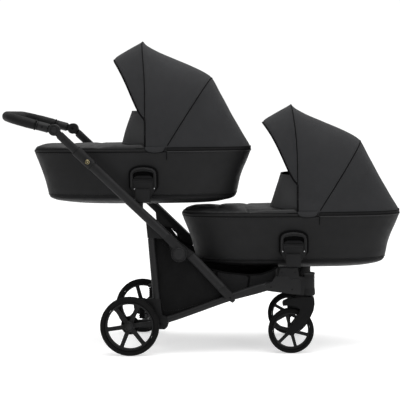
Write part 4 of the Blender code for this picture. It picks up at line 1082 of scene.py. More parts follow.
def hood(tag, step, body):
    bow = f"{tag}_bow_front"
    start, end = (p + SHIFT + step for p in BLEND)
    outer = grid(HOOD_ROWS)
    inner_rows = [r - n * 0.0022 for r, n in zip(HOOD_ROWS, HOOD_NORMAL)]
    inner = grid(inner_rows)
    # one closed sheet: outside, inside and the edges between them
    b = Build()
    points = np.concatenate([outer[0], inner[0]])
    n = len(outer[0])
    rows, cols = len(HOOD_ROWS), ACROSS
    faces_out = outer[1]
    faces_in = [tuple(i + n for i in f[::-1]) for f in inner[1]]
    border = [(0, i) for i in range(cols)] + [(j, cols - 1) for j in range(1, rows)] + [(rows - 1, i) for i in range(cols - 2, -1, -1)] + [(j, 0) for j in range(rows - 2, 0, -1)]
    ids = [j * cols + i for j, i in border]
    edge = [(ids[k], ids[(k + 1) % len(ids)], ids[(k + 1) % len(ids)] + n, ids[k] + n) for k in range(len(ids))]
    b.points, b.count = [points], len(points)
    b.faces = faces_out + edge + faces_in
    b.mats = ["hood_cloth", "lining_cloth"]
    b.kinds = [0] * (len(faces_out) + len(edge)) + [1] * len(faces_in)
    cover = b.make(f"{tag}_hood_cloth", None, f"{tag}_hood_cover", step, sharp=60)
    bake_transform(cover, body, bow, start=start, end=end)

    # seams over the bows, the bound front edge and their stitching
    t = Build()
    edge_line = HOOD_ROWS[0]
    t.add(tube(resample(edge_line, step=0.010), 0.0036, sides=10), "seam_tape_and_shadow")
    front_row, rear_row = 16, 46
    for row, r in ((front_row, 0.0016), (rear_row, 0.0018)):
        line = HOOD_ROWS[row] + HOOD_NORMAL[row] * 0.0004
        t.add(tube(resample(line[2:-2], step=0.008), r, sides=8), "seam_tape_and_shadow")
        for side in (-1, 1):
            away = HOOD_ROWS[row + side] - HOOD_ROWS[row]
            away /= np.maximum(np.linalg.norm(away, axis=1), 1e-6)[:, None]
            t.add(stitches((line + away * 0.0042 + HOOD_NORMAL[row] * 0.0006)[6:-6], step=0.0100, length=0.0065, r=0.0004), "thread")
    away = HOOD_ROWS[1] - HOOD_ROWS[0]
    away /= np.maximum(np.linalg.norm(away, axis=1), 1e-6)[:, None]
    t.add(stitches((edge_line + away * 0.0062 + HOOD_NORMAL[0] * 0.0006)[6:-6], step=0.0100, length=0.0065, r=0.0004), "thread")
    trim = t.make(f"{tag}_hood_seams", None, (), step, sharp=180)
    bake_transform(trim, body, bow, start=start, end=end)

    # the foot of the hood: side tabs, zipped band round the head end, care tag
    foot = Build()
    for k in (-1, 1):
        rows = []
        shape = [(0.0600, 0.8050), (0.0608, 0.7985), (0.0640, 0.7930), (0.0700, 0.7885), (0.0800, 0.7852), (0.0900, 0.7838), (0.1006, 0.7834),
                 (0.1110, 0.7838), (0.1205, 0.7850), (0.1300, 0.7880), (0.1355, 0.7925), (0.1388, 0.7985), (0.1400, 0.8050)]
        lo = [vec(x, 0, z) for x, z in shape]
        for q in np.linspace(0, 1, 8):
            row = []
            for p in lo:
                z = 0.8075 + (p[2] - 0.8075) * q
                x = p[0] + (p[0] - 0.100) * 0.0 * (1 - q)
                zc = min(z, 0.7969)
                wide = tub_at(zc)
                yy = wide[2] * max(0.0, 1 - (abs(x - wide[0]) / wide[1]) ** 3) ** (1 / 3)
                lip = 0.0018 + 0.0016 * math.sin(math.pi * min(1.0, q * 1.1))
                if z > 0.797:
                    lip += 0.0002 * (z - 0.797) / 0.01
                row.append((x, k * (yy + lip), z))
            rows.append(np.array(row))
        front = grid(rows)
        back = grid([r - vec(0, k * 0.0022, 0) for r in rows])
        n = len(front[0])
        c = len(shape)
        border = [(0, i) for i in range(c)] + [(j, c - 1) for j in range(1, 8)] + [(7, i) for i in range(c - 2, -1, -1)] + [(j, 0) for j in range(6, 0, -1)]
        ids = [j * c + i for j, i in border]
        edge = [(ids[m], ids[(m + 1) % len(ids)], ids[(m + 1) % len(ids)] + n, ids[m] + n) for m in range(len(ids))]
        foot.add((np.concatenate([front[0], back[0]]), front[1] + [tuple(i + n for i in f) for f in back[1]] + edge), "hood_cloth")
        hem = np.array(rows[-1]) + vec(0, k * 0.0004, 0)
        foot.add(tube(resample(hem, step=0.004), 0.0011, sides=8), "seam_tape_and_shadow")
        foot.add(stitches(np.array(rows[-2]) + vec(0, k * 0.0006, 0), step=0.008, length=0.005, r=0.00045), "thread")
        # care tag, bare
        x0, zt, zb = 0.1455, 0.7870, 0.7560
        wide = tub_at(0.772)
        yy = wide[2] * (1 - (abs(x0 - wide[0]) / wide[1]) ** 3) ** (1 / 3)
        if k < 0:
            flap = []
            for q in np.linspace(0, 1, 9):
                z = zt + (zb - zt) * q
                w2 = tub_at(z)
                y2 = w2[2] * (1 - (abs(x0 - w2[0]) / w2[1]) ** 3) ** (1 / 3)
                out = 0.0016 + 0.0028 * math.sin(math.pi * q * 0.6)
                flap.append(np.array([(x0 - 0.0012, k * (y2 + out), z), (x0 + 0.0012, k * (y2 + out + 0.0006), z), (x0 + 0.0012, k * (y2 + out - 0.0008), z), (x0 - 0.0012, k * (y2 + out - 0.0012), z)]))
            foot.add(grid(flap, closed=True, ends=(True, True)), "seam_tape_and_shadow")
    behind = lambda x, y: x > 0.1440
    rows, closed = band([(0.0002, 0.7900), (0.0014, 0.7902), (0.0018, 0.7930), (0.0018, 0.7995), (0.0014, 0.8038), (0.0002, 0.8046)], count=260, part=behind, at=0.7960)
    foot.add(loop_of(rows, closed), "zip_tape")
    line = around(0.7960, 0.0014, 400)
    line = np.array([p for p in line if p[0] > 0.1460])
    order = np.argsort(np.arctan2(line[:, 1], line[:, 0] - 0.1))
    line = line[order]
    upper_line = line.copy()
    upper_line[:, 2] = 0.7916
    beads = resample(upper_line, step=0.0030)
    radii = np.where(np.arange(len(beads)) % 2 == 0, 0.0015, 0.0010)
    foot.add(tube(beads, radii, sides=6), "moulding_dark")
    for z, r in ((0.7936, 0.0010), (0.7898, 0.0011), (0.8034, 0.0010)):
        cord = line.copy()
        cord[:, 2] = z
        foot.add(tube(resample(cord, step=0.008), r, sides=6), "seam_tape_and_shadow")
    lower_line = line.copy()
    lower_line[:, 2] = 0.7880
    foot.add(tube(resample(lower_line, step=0.008), 0.0021, sides=8), "apron_leather")
    foot.make(f"{tag}_hood_foot", body, (), step, sharp=60)
    return cover


# ================================================================ carrycots
skin, lining = tub_shell()


def cot(tag, step, body):
    b = Build()
    b.add(skin, "leatherette").add(lining, "lining_cloth")
    tub = b.make(f"{tag}_tub", body, f"{tag}_cot_tub", step, sharp=60)

    # piping and stitched seams round the tub
    t = Build()
    t.add(tube(around(SEAM_HI, 0.0004, 220), 0.0014, sides=8, closed=True), "leatherette")
    t.add(tube(around(SEAM_LO, 0.0003, 220), 0.0010, sides=8, closed=True), "leatherette_dark")
    t.add(tube(around(SEAM_HI - 0.0030, -0.0009, 220), 0.0012, sides=6, closed=True), "seam_tape_and_shadow")
    t.add(stitches(around(SEAM_HI + 0.0048, 0.0012, 300), step=0.0100, length=0.0065, r=0.0004, closed=True), "thread")
    t.add(stitches(around(TOP_SEAM - 0.0052, 0.0008, 300), step=0.0100, length=0.0065, r=0.0004, closed=True), "thread")
    # rolled rim band over the foot half and the sides, in the darker leatherette_dark that paints the shade under the
    # overhanging apron
    ahead = lambda x, y: x < 0.0620
    rows, closed = band([(0.0003, 0.7886), (0.0022, 0.7892), (0.0031, 0.7920), (0.0030, 0.7958), (0.0018, 0.7978), (-0.0012, 0.7984), (-0.0020, 0.7970)], count=260, part=ahead, at=0.7960)
    t.add(loop_of(rows, closed), "leatherette_dark")
    line = around(TOP_SEAM, 0.0006, 260)
    t.add(tube(line, 0.0011, sides=8, closed=True), "seam_tape_and_shadow")
    t.make(f"{tag}_tub_seams", body, (), step, sharp=60)
    roll = Build()
    for k in (-1, 1):
        line, radii = [], []
        for x in np.linspace(-0.130, 0.0620, 54):
            q = (x + 0.130) / 0.192
            r = 0.0094 * min(1.0, 2.6 * q, 14 * (1 - q)) ** 0.5 + 0.0004 + wobble((x, k, 0), (60, 1, 1), 0.0004, 2.0)
            line.append((x, k * (rim_y(x) - 0.0016 - r), 0.7972 + r * 0.92 + 0.0006 * math.sin(9 * q)))
            radii.append(r)
        points, faces = tube(np.array(line), np.array(radii), sides=28)
        roll.add((points, faces), "apron_leather")
        roll.add(stitches(np.array([(x, k * (rim_y(x) - 0.0019), 0.8020) for x in np.linspace(-0.120, 0.055, 36)]), step=0.0100, length=0.0065, r=0.0004), "thread")
    roll.make(f"{tag}_rim_roll", body, (), step, sharp=180)

    # apron pad with its sewn channels
    b = Build()
    b.add(apron_shell, "apron_leather")
    pad = b.make(f"{tag}_apron", body, f"{tag}_cot_apron", step, sharp=180)

    # wind flap: stands up in front of the hood and wraps back inside it at both sides
    rows = []
    cols = 61
    for q in np.linspace(0, 1, 17):
        row = []
        for i in range(cols):
            v = math.sin(math.pi / 2 * (-1 + 2 * i / (cols - 1)))
            y = 0.1868 * v + 0.0032 * math.copysign(abs(v) ** 14, v)
            w = abs(v) ** 4
            foot = 0.7990 + 0.0160 * (1 - abs(y / 0.21) ** 4)
            x = APRON_END + 0.1058 * w + 0.044 * q * (1 - w) - 0.005 * q * w
            z = foot + q * (0.9460 - foot)
            soft = math.sin(math.pi * q) * (0.0016 * math.sin(5.0 * y / 0.17 + 1.0) + wobble((x, y, z), (10, 16, 12), 0.0022, 7.7)) * (1 - w)
            row.append((x + soft, y, z))
        rows.append(np.array(row))
    front = grid(rows)
    b = Build()
    b.add(front, "flap_cloth")
    flap = b.make(f"{tag}_wind_flap", None, (), step, sharp=180, flip=False)
    thicken(flap, 0.0042, 0.0)
    bake(flap)
    flap.data.shade_smooth()
    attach(flap, body)
    t = Build()
    stack = np.array(rows)
    rim = np.concatenate([stack[:, 0], stack[-1, 1:-1], stack[::-1, -1]])
    t.add(tube(resample(rim, step=0.006), 0.0030, sides=10), "flap_cloth")
    inside = np.concatenate([stack[1:-1, 1], stack[-2, 2:-2], stack[-2:0:-1, -2]])
    for off in (-0.0026, 0.0026):
        t.add(stitches(inside + vec(off, 0, 0), step=0.0095, length=0.006, r=0.00045), "thread")
    edge = t.make(f"{tag}_wind_flap_edge", body, (), step, sharp=180)

    # apron border: piping between pad and rim
    t = Build()
    outline = [vec(x, -rim_y(x, -0.0026), 0.8012) for x in np.linspace(0.020, COT_XC - COT_A * 0.90, 60)]
    nose = around(0.7960, -0.0026, 400)
    nose = np.array([p for p in nose if p[0] < 0.0250])
    order = np.argsort(np.arctan2(nose[:, 1], -(nose[:, 0] - 0.1)))
    nose = nose[order]
    nose[:, 2] = 0.8008
    t.add(tube(resample(nose, step=0.010), 0.0018, sides=8), "leatherette")
    t.make(f"{tag}_apron_seams", body, (), step, sharp=180)

    b = Build()
    b.add(mattress_shell, "mattress_cover")
    seam = plan(0.0340, 0.3640, 0.1720, 0.6245, 200)
    b.add(tube(seam, 0.0016, sides=8, closed=True), "mattress_thread")
    mat = b.make(f"{tag}_mattress", body, f"{tag}_cot_mattress", step, sharp=180)

    for label in ("front", "rear"):
        fine(f"{tag}_hood_bow_{label}", "wire", width=0)

    # side plates: raised rim, a near-black halo round the plate that paints the shadow at its edge, boss lines and
    # screws on the CAD plate
    cx = PLATE_X[tag]
    for side, k in SIDES:
        fine(f"{tag}_side_plate_{side}", "low_moulding", width=0.0012, seg=3)
        fine(f"{tag}_release_lever_{side}", "moulding_dark", width=0.0012, seg=2)
        d = Build()
        face = k * 0.2215
        # painted shadow: a near-black slab a little larger than the plate stands in for the shade round its edge
        shadow_halo = [(0.0320, 0.6120), (0.0364, 0.6260), (0.0516, 0.6410), (0.0578, 0.6500), (0.0582, 0.6985), (0.0562, 0.7130), (0.0498, 0.7226), (0.0398, 0.7292), (0.0208, 0.7342), (0.0, 0.7358)]
        shadow_halo = shadow_halo + [(-x, z) for x, z in reversed(shadow_halo[:-1])]
        d.add(slab(fillet([(cx + x, z) for x, z in shadow_halo], 0.004), k * 0.2040, k * 0.2093, bevel=0.0012, seg=2), "seam_tape_and_shadow")
        rim = [(0.0470, 0.6530), (0.0470, 0.6970), (0.0452, 0.7072), (0.0408, 0.7138), (0.0335, 0.7186), (0.0185, 0.7226), (0.0, 0.7240)]
        rim = rim + [(-x, z) for x, z in reversed(rim[:-1])]
        path = resample([vec(cx + x, face, z) for x, z in rim], step=0.004)
        d.add(tube(path, 0.0038, sides=12, squeeze=(Y, 0.62)), "moulding")
        inner = [(0.0300, 0.6440), (0.0390, 0.6520), (0.0405, 0.6780), (0.0, 0.6800)]
        inner = inner + [(-x, z) for x, z in reversed(inner[:-1])]
        path = resample([vec(cx + x, face, z) for x, z in inner], step=0.004)
        d.add(tube(path, 0.0011, sides=8), "moulding_dark")
        body_panel = fillet([(cx + x, z) for x, z in ((-0.0215, 0.5965), (0.0215, 0.5965), (0.0240, 0.6200), (0.0335, 0.6420), (0.0345, 0.6700), (-0.0345, 0.6700), (-0.0335, 0.6420), (-0.0240, 0.6200))], 0.006)
        d.add(slab(body_panel, k * 0.2212, k * 0.2228, bevel=0.0006, seg=2), "low_moulding")
        dx = (0.0199 - 0.0542, 0.1001 - 0.0542) if tag == "upper" else (-0.0496 + 0.0, 0.0405)
        zz = (0.6356, 0.6459) if tag == "upper" else (0.6537, 0.6533)
        for x, z in zip(dx, zz):
            x = max(-0.0430, min(0.0430, x))
            z = max(0.6440, z)
            d.add(dome([(0, k * 0.0026), (0.0012, k * 0.0026), (0.0022, k * 0.0020), (0.0026, k * 0.0010), (0.0026, 0)], (cx + x, face, z), 18), "steel")
        for x, z in ((-0.0415, 0.6797), (0.0385, 0.6830)):
            d.add(dome([(0, k * 0.0014), (0.0022, k * 0.0014), (0.0030, k * 0.0008), (0.0032, 0)], (cx + x, face, z), 18), "moulding_dark")
        d.make(f"{tag}_side_plate_detail_{side}", body, (), step)


for tag, step, body in COTS:
    cot(tag, step, body)
    hood(tag, step, body)


# ================================================================ wheels
def wheel(name, side, k, x, y, z, outer, tyre_w, felloe, hub_r, hub_w, phase):
    body = f"{name}_wheel_{side}"
    inner_r, seat_r = felloe
    half = tyre_w / 2
    b = Build()
    lip = [(inner_r, half * 0.60), (inner_r + 0.0012, half * 0.66), (seat_r - 0.0012, half * 0.74), (seat_r + 0.0002, half * 0.62), (seat_r - 0.0004, half * 0.30),
           (seat_r - 0.0004, -half * 0.30), (seat_r + 0.0002, -half * 0.62), (seat_r - 0.0012, -half * 0.74), (inner_r + 0.0012, -half * 0.66), (inner_r, -half * 0.60),
           (inner_r + 0.0018, -half * 0.34), (inner_r + 0.0018, half * 0.34)]
    b.add(turned(fillet(lip, 0.0010, 2), (x, y, z), 96), "rim_plastic")
    # spokes: tapered, with flared ends and a rib down each face
    for i in range(6):
        a = math.radians(phase + 60 * i)
        u = vec(math.cos(a), 0, math.sin(a))
        w = vec(-math.sin(a), 0, math.cos(a))
        rows = []
        r0, r1 = hub_r * 0.80, inner_r + 0.0022
        for t in np.linspace(0, 1, 15):
            wide = hub_r * 0.372 * (1 - t) + hub_r * 0.318 * t + 0.0009
            wide += 0.0030 * max(0.0, (t - 0.86) / 0.14) ** 2 + 0.0010 * max(0.0, (0.14 - t) / 0.14) ** 2
            deep = half * (0.34 - 0.05 * math.sin(math.pi * t)) + half * 0.16 * max(0.0, (t - 0.88) / 0.12) ** 2
            rib = 0.0012
            section = [(-wide, -deep * 0.80), (-wide * 0.82, -deep), (-wide * 0.30, -deep), (-wide * 0.22, -deep - rib), (wide * 0.22, -deep - rib), (wide * 0.30, -deep),
                       (wide * 0.82, -deep), (wide, -deep * 0.80), (wide, deep * 0.80), (wide * 0.82, deep), (wide * 0.30, deep), (wide * 0.22, deep + rib),
                       (-wide * 0.22, deep + rib), (-wide * 0.30, deep), (-wide * 0.82, deep), (-wide, deep * 0.80)]
            at = vec(x, y, z) + u * (r0 + (r1 - r0) * t)
            rows.append(np.array([at + w * p + Y * q for p, q in section]))
        b.add(grid(rows, closed=True, ends=(True, True)), "rim_plastic")
    hub = [(0.0060, hub_w * 0.98), (0.0060, -hub_w * 0.98), (hub_r * 0.74, -hub_w), (hub_r * 0.82, -hub_w * 0.93), (hub_r * 0.86, -hub_w * 0.80), (hub_r, -hub_w * 0.72),
           (hub_r, hub_w * 0.72), (hub_r * 0.86, hub_w * 0.80), (hub_r * 0.82, hub_w * 0.93), (hub_r * 0.74, hub_w)]
    b.add(turned(fillet(hub, 0.0009, 2), (x, y, z), 48), "rim_plastic")
    cap = [(0, k * (hub_w + 0.0016)), (hub_r * 0.30, k * (hub_w + 0.0016)), (hub_r * 0.46, k * (hub_w + 0.0010)), (hub_r * 0.50, k * hub_w), (hub_r * 0.58, k * (hub_w - 0.0002))]
    b.add(dome(cap, (x, y, z), 36), "moulding")
    for i in range(6):
        a = math.radians(phase + 30 + 60 * i)
        at = (x + hub_r * 0.66 * math.cos(a), y + k * hub_w * 0.985, z + hub_r * 0.66 * math.sin(a))
        b.add(dome([(0, k * 0.0007), (0.0014, k * 0.0006), (0.0018, 0)], at, 12), "moulding_dark")
    b.make(f"{name}_wheel_rim_{side}", body, f"{name}_rim_{side}")

    # tyre: rounded section, two running grooves and a cut shoulder
    t = Build()
    steps = 180
    profile = []
    n = 26
    for i in range(n + 1):
        v = -1 + 2 * i / n
        h = half * 0.985 * math.copysign(abs(v) ** 0.80, v)
        e = abs(h) / half
        r = outer - (outer - seat_r - 0.0016) * (max(0.0, e - 0.28) / 0.72) ** 2.6
        profile.append((r, h, v))
    rows = []
    for s in range(steps):
        q = TAU * s / steps
        row = []
        for i, (r, h, v) in enumerate(profile):
            e = abs(h) / half
            groove = 0.0011 * math.exp(-((e - 0.20) / 0.035) ** 2)
            blocks = 0.0010 if (0.34 < e < 0.74 and (s + (2 if h > 0 else 0)) % 5 == 0) else 0.0
            line = 0.0005 * math.exp(-((e - 0.93) / 0.02) ** 2)
            rr = r - groove - blocks - line
            row.append((x + rr * math.cos(q), y + h, z + rr * math.sin(q)))
        row.append((x + (seat_r + 0.0004) * math.cos(q), y + half * 0.66, z + (seat_r + 0.0004) * math.sin(q)))
        row.append((x + (seat_r + 0.0004) * math.cos(q), y - half * 0.66, z + (seat_r + 0.0004) * math.sin(q)))
        rows.append(np.array(row))
    rows.append(rows[0])
    points, faces = grid(rows, closed=True)
    t.add((points, faces), "tyre_rubber")
    t.make(f"{name}_wheel_tyre_{side}", body, f"{name}_tyre_{side}", sharp=50)


for side, k in SIDES:
    wheel("rear", side, k, 0, k * REAR_Y, REAR_R, REAR_R, REAR_TYRE, (0.0868, 0.0950), 0.0205, 0.0225, 8 if k < 0 else 45)
    wheel("front", side, k, WX, k * CASTER_Y, FRONT_R, FRONT_R, FRONT_TYRE, (0.0655, 0.0722), 0.0155, 0.0180, 45 if k < 0 else 30)


# ================================================================ handle
def u_path(start, corner=0.100, count=22, lift=0.0, inset=0.0, y0=HANDLE_Y):
    half = [(start, y0 - inset)]
    for a in np.linspace(start + 0.004, ARM_REACH - corner - 0.004, 6):
        half.append((a, y0 - inset))
    for i in range(count):
        t = math.radians(90 * i / (count - 1))
        half.append((ARM_REACH - corner + (corner - inset) * math.sin(t), y0 - corner + (corner - inset) * math.cos(t)))
    pts = [on_handle(a, -y, lift) for a, y in half]
    pts += [on_handle(a, y, lift) for a, y in reversed(half)]
    return np.array(pts)


b = Build()
line = resample(u_path(0.0750), step=0.0085)
r = np.array([GRIP_R + 0.0004 * noise.noise(Vector((i * 0.35, 0, 4.0))) for i in range(len(line))])
r[:2] = (GRIP_R - 0.0022, GRIP_R - 0.0006)
r[-2:] = (GRIP_R - 0.0006, GRIP_R - 0.0022)
b.add(tube(line, r, sides=32), "grip_leather")
# sewn seam along the inside of the bend and underneath
for lift, inset in ((-0.0141, 0.0136),):
    seam = resample(u_path(0.0800, lift=lift, inset=inset), step=0.006)
    b.add(tube(seam, 0.0009, sides=6), "seam_tape_and_shadow")
    b.add(stitches(resample(u_path(0.0800, lift=lift + 0.0022, inset=inset + 0.0018), step=0.006), step=0.0080, length=0.0050, r=0.0005), "thread")
    b.add(stitches(resample(u_path(0.0800, lift=lift - 0.0020, inset=inset - 0.0020), step=0.006), step=0.0080, length=0.0050, r=0.0005), "thread")
for k in (-1, 1):
    p, q = on_handle(0.0745, k * HANDLE_Y), on_handle(0.0800, k * HANDLE_Y)
    path, radii = rounded_ends([p, q], GRIP_R + 0.0010, 0.0012)
    b.add(tube(path, radii, sides=32), "moulding_dark")
grip = b.make("handle_wrap", "handle", "handle_grip", sharp=50)

b = Build()
b.add(tube(resample(u_path(0.0560), step=0.02), 0.0122, sides=16), "moulding")
for k in (-1, 1):
    path, radii = rounded_ends([on_handle(0.0245, k * HANDLE_Y), on_handle(0.0400, k * HANDLE_Y), on_handle(0.0560, k * HANDLE_Y), on_handle(0.0735, k * HANDLE_Y)], 0.0178, 0.0015)
    b.add(tube(path, radii, sides=32), "moulding")
    path, radii = rounded_ends([on_handle(0.0655, k * HANDLE_Y), on_handle(0.0700, k * HANDLE_Y)], 0.0183, 0.0006)
    b.add(tube(path, radii, sides=32), "moulding_dark")
    hub = fillet([(0.0056, k * 0.2375), (0.0224, k * 0.2375), (0.0224, k * 0.2552), (0.0056, k * 0.2552)], 0.0016, 3)
    b.add(turned(hub, (KNOB[0], 0, KNOB[2]), 48), "moulding")
    web = [on_handle(0.010, 0, 0.0125), on_handle(0.010, 0, -0.0125), on_handle(0.032, 0, -0.0150), on_handle(0.032, 0, 0.0150)]
    b.add(slab([(p[0], p[2]) for p in web], k * 0.2380, k * 0.2548, bevel=0.0012), "moulding")
    at = on_handle(0.0480, k * (HANDLE_Y + 0.0174))
    b.add(dome([(0, k * 0.0012), (0.0030, k * 0.0011), (0.0042, k * 0.0005), (0.0045, -k * 0.0016)], tuple(at), 24), "moulding_dark")
b.make("handle_core", "handle", "handle_tube")

# ================================================================ push bar, telescope, knobs
for side, k in SIDES:
    y = k * PUSH_Y
    b = Build()
    path = [on_push(s, 0, y) for s in np.linspace(0.190, 0.645, 40)]
    radii = np.interp(np.linspace(0.190, 0.645, 40), (0.190, 0.420, 0.645), (0.0182, 0.01765, 0.0160))
    b.add(tube(path, radii, sides=40, squeeze=(Y, 0.632)), "powder_coat")
    bs, boff = (FOLD - KNOB).dot(DOWN), (FOLD - KNOB).dot(ABOVE)
    lobe = [(0.600, -0.0160), (0.6480, -0.0175)]
    for i in range(25):
        a = math.radians(182 + (452 - 182) * i / 24)
        lobe.append((bs + 0.0310 * math.cos(a), boff + 0.0310 * math.sin(a)))
    lobe.append((0.600, 0.0158))
    pts = [(on_push(s, off)[0], on_push(s, off)[2]) for s, off in lobe]
    b.add(slab(pts, k * 0.2462, k * 0.2678, bevel=0.0016), "moulding")
    ring = [(0.0084, k * 0.2480), (0.0302, k * 0.2480), (0.0302, k * 0.2692), (0.0294, k * 0.2705), (0.0270, k * 0.2705), (0.0264, k * 0.2698), (0.0262, k * 0.2642), (0.0084, k * 0.2642)]
    b.add(turned(fillet(ring, 0.0006, 2), (FOLD[0], 0, FOLD[2]), 64), "moulding")
    path, radii = rounded_ends([on_push(0.1120, 0, y), on_push(0.1300, 0, y), on_push(0.1900, 0, y), on_push(0.2060, 0, y)], 0.0206, 0.0022)
    b.add(tube(path, radii, sides=40, squeeze=(Y, 0.66)), "moulding")
    for s in (0.1170, 0.2010):
        path, radii = rounded_ends([on_push(s - 0.0014, 0, y), on_push(s + 0.0014, 0, y)], 0.0209, 0.0008)
        b.add(tube(path, radii, sides=40, squeeze=(Y, 0.66)), "moulding_dark")
    at = on_push(0.1790, 0, 0)
    boss = fillet([(0.0096, k * 0.2620), (0.0137, k * 0.2620), (0.0135, k * 0.2736), (0.0128, k * 0.2745), (0.0104, k * 0.2745), (0.0096, k * 0.2738)], 0.0005, 2)
    b.add(turned(boss, (at[0], 0, at[2]), 40), "moulding")
    b.make(f"push_bar_{side}", f"push_bar", f"push_tube_{side}")

    b = Build()
    cap = [(0, k * 0.2736), (0.0190, k * 0.2736), (0.0216, k * 0.2731), (0.0236, k * 0.2722), (0.0250, k * 0.2708), (0.0256, k * 0.2694), (0.0256, k * 0.2674), (0, k * 0.2674)]
    b.add(dome(cap, (FOLD[0], 0, FOLD[2]), 64), "moulding")
    groove = fillet([(0.0196, k * 0.2733), (0.0202, k * 0.2733), (0.0206, k * 0.2738), (0.0192, k * 0.2738)], 0.0002, 1)
    b.add(turned(groove, (FOLD[0], 0, FOLD[2]), 64), "moulding_dark")
    b.make(f"fold_cap_{side}", f"fold_latch_{side}", f"fold_button_{side}", sharp=50)

    b = Build()
    cap = [(0, k * 0.2768), (0.0030, k * 0.2767), (0.0062, k * 0.2761), (0.0080, k * 0.2752), (0.0090, k * 0.2738), (0.0092, k * 0.2712), (0, k * 0.2712)]
    b.add(dome(cap, (at[0], 0, at[2]), 40), "brass")
    b.add(turned(fillet([(0.0030, k * 0.2758), (0.0068, k * 0.2752), (0.0068, k * 0.2768), (0.0030, k * 0.2775)], 0.0002, 1), (at[0], 0, at[2]), 40), "moulding_dark")
    b.make(f"height_stud_{side}", f"height_latch_{side}", f"height_button_{side}", sharp=50)

    b = Build()
    path, radii = rounded_ends([on_push(s, 0, y) for s in np.linspace(0.0270, 0.2880, 20)], 0.0162, 0.0010)
    b.add(tube(path, radii, sides=36, squeeze=(Y, 0.570)), "powder_coat")
    head = [(0.0500, -0.0120)] + [(0.0225 * math.cos(math.radians(a)), 0.0225 * math.sin(math.radians(a))) for a in range(-32, -329, -9)] + [(0.0500, 0.0120)]
    pts = [(on_push(s, off)[0], on_push(s, off)[2]) for s, off in head]
    b.add(slab(pts, k * 0.2560, k * 0.2700, bevel=0.0022), "moulding")
    ring = fillet([(0.0133, k * 0.2668), (0.0218, k * 0.2668), (0.0218, k * 0.2708), (0.0206, k * 0.2720), (0.0140, k * 0.2720), (0.0133, k * 0.2714)], 0.0006, 2)
    b.add(turned(ring, (KNOB[0], 0, KNOB[2]), 48), "moulding")
    b.add(turned([(0.0008, k * 0.2385), (0.0050, k * 0.2385), (0.0050, k * 0.2600), (0.0008, k * 0.2600)], (KNOB[0], 0, KNOB[2]), 20), "moulding_dark")
    b.make(f"telescope_{side}", "telescope", f"telescopic_tube_{side}")
    b = Build()
    cap = [(0, k * 0.2744), (0.0085, k * 0.2743), (0.0108, k * 0.2736), (0.0124, k * 0.2722), (0.0128, k * 0.2706), (0.0128, k * 0.2695), (0, k * 0.2695)]
    b.add(dome(cap, (KNOB[0], 0, KNOB[2]), 44), "moulding")
    b.add(turned(fillet([(0.0088, k * 0.2740), (0.0094, k * 0.2739), (0.0094, k * 0.2745), (0.0088, k * 0.2746)], 0.0002, 1), (KNOB[0], 0, KNOB[2]), 44), "moulding_dark")
    b.make(f"tilt_cap_{side}", f"tilt_latch_{side}", f"knob_button_{side}", sharp=50)

# ================================================================ fixed frame
RAIL = [(0.146, 0.1345), (0.194, 0.1500), (0.272, 0.1777), (0.350, 0.2058), (0.400, 0.2235), (0.4450, 0.2375), (0.4870, 0.2495), (0.530, 0.2615)]
RAIL_R = [0.0130, 0.0130, 0.0130, 0.0130, 0.0140, 0.0160, 0.0172, 0.0168]
LOW_FROM = vec(0.2988, 0, 0.3187)
LOW_DIR = vec(math.cos(math.radians(47)), 0, -math.sin(math.radians(47)))
LOW_UP = vec(math.sin(math.radians(47)), 0, math.cos(math.radians(47)))


def low(s, off=0.0, y=0.0):
    p = LOW_FROM + LOW_DIR * s + LOW_UP * off
    return vec(p[0], y, p[2])


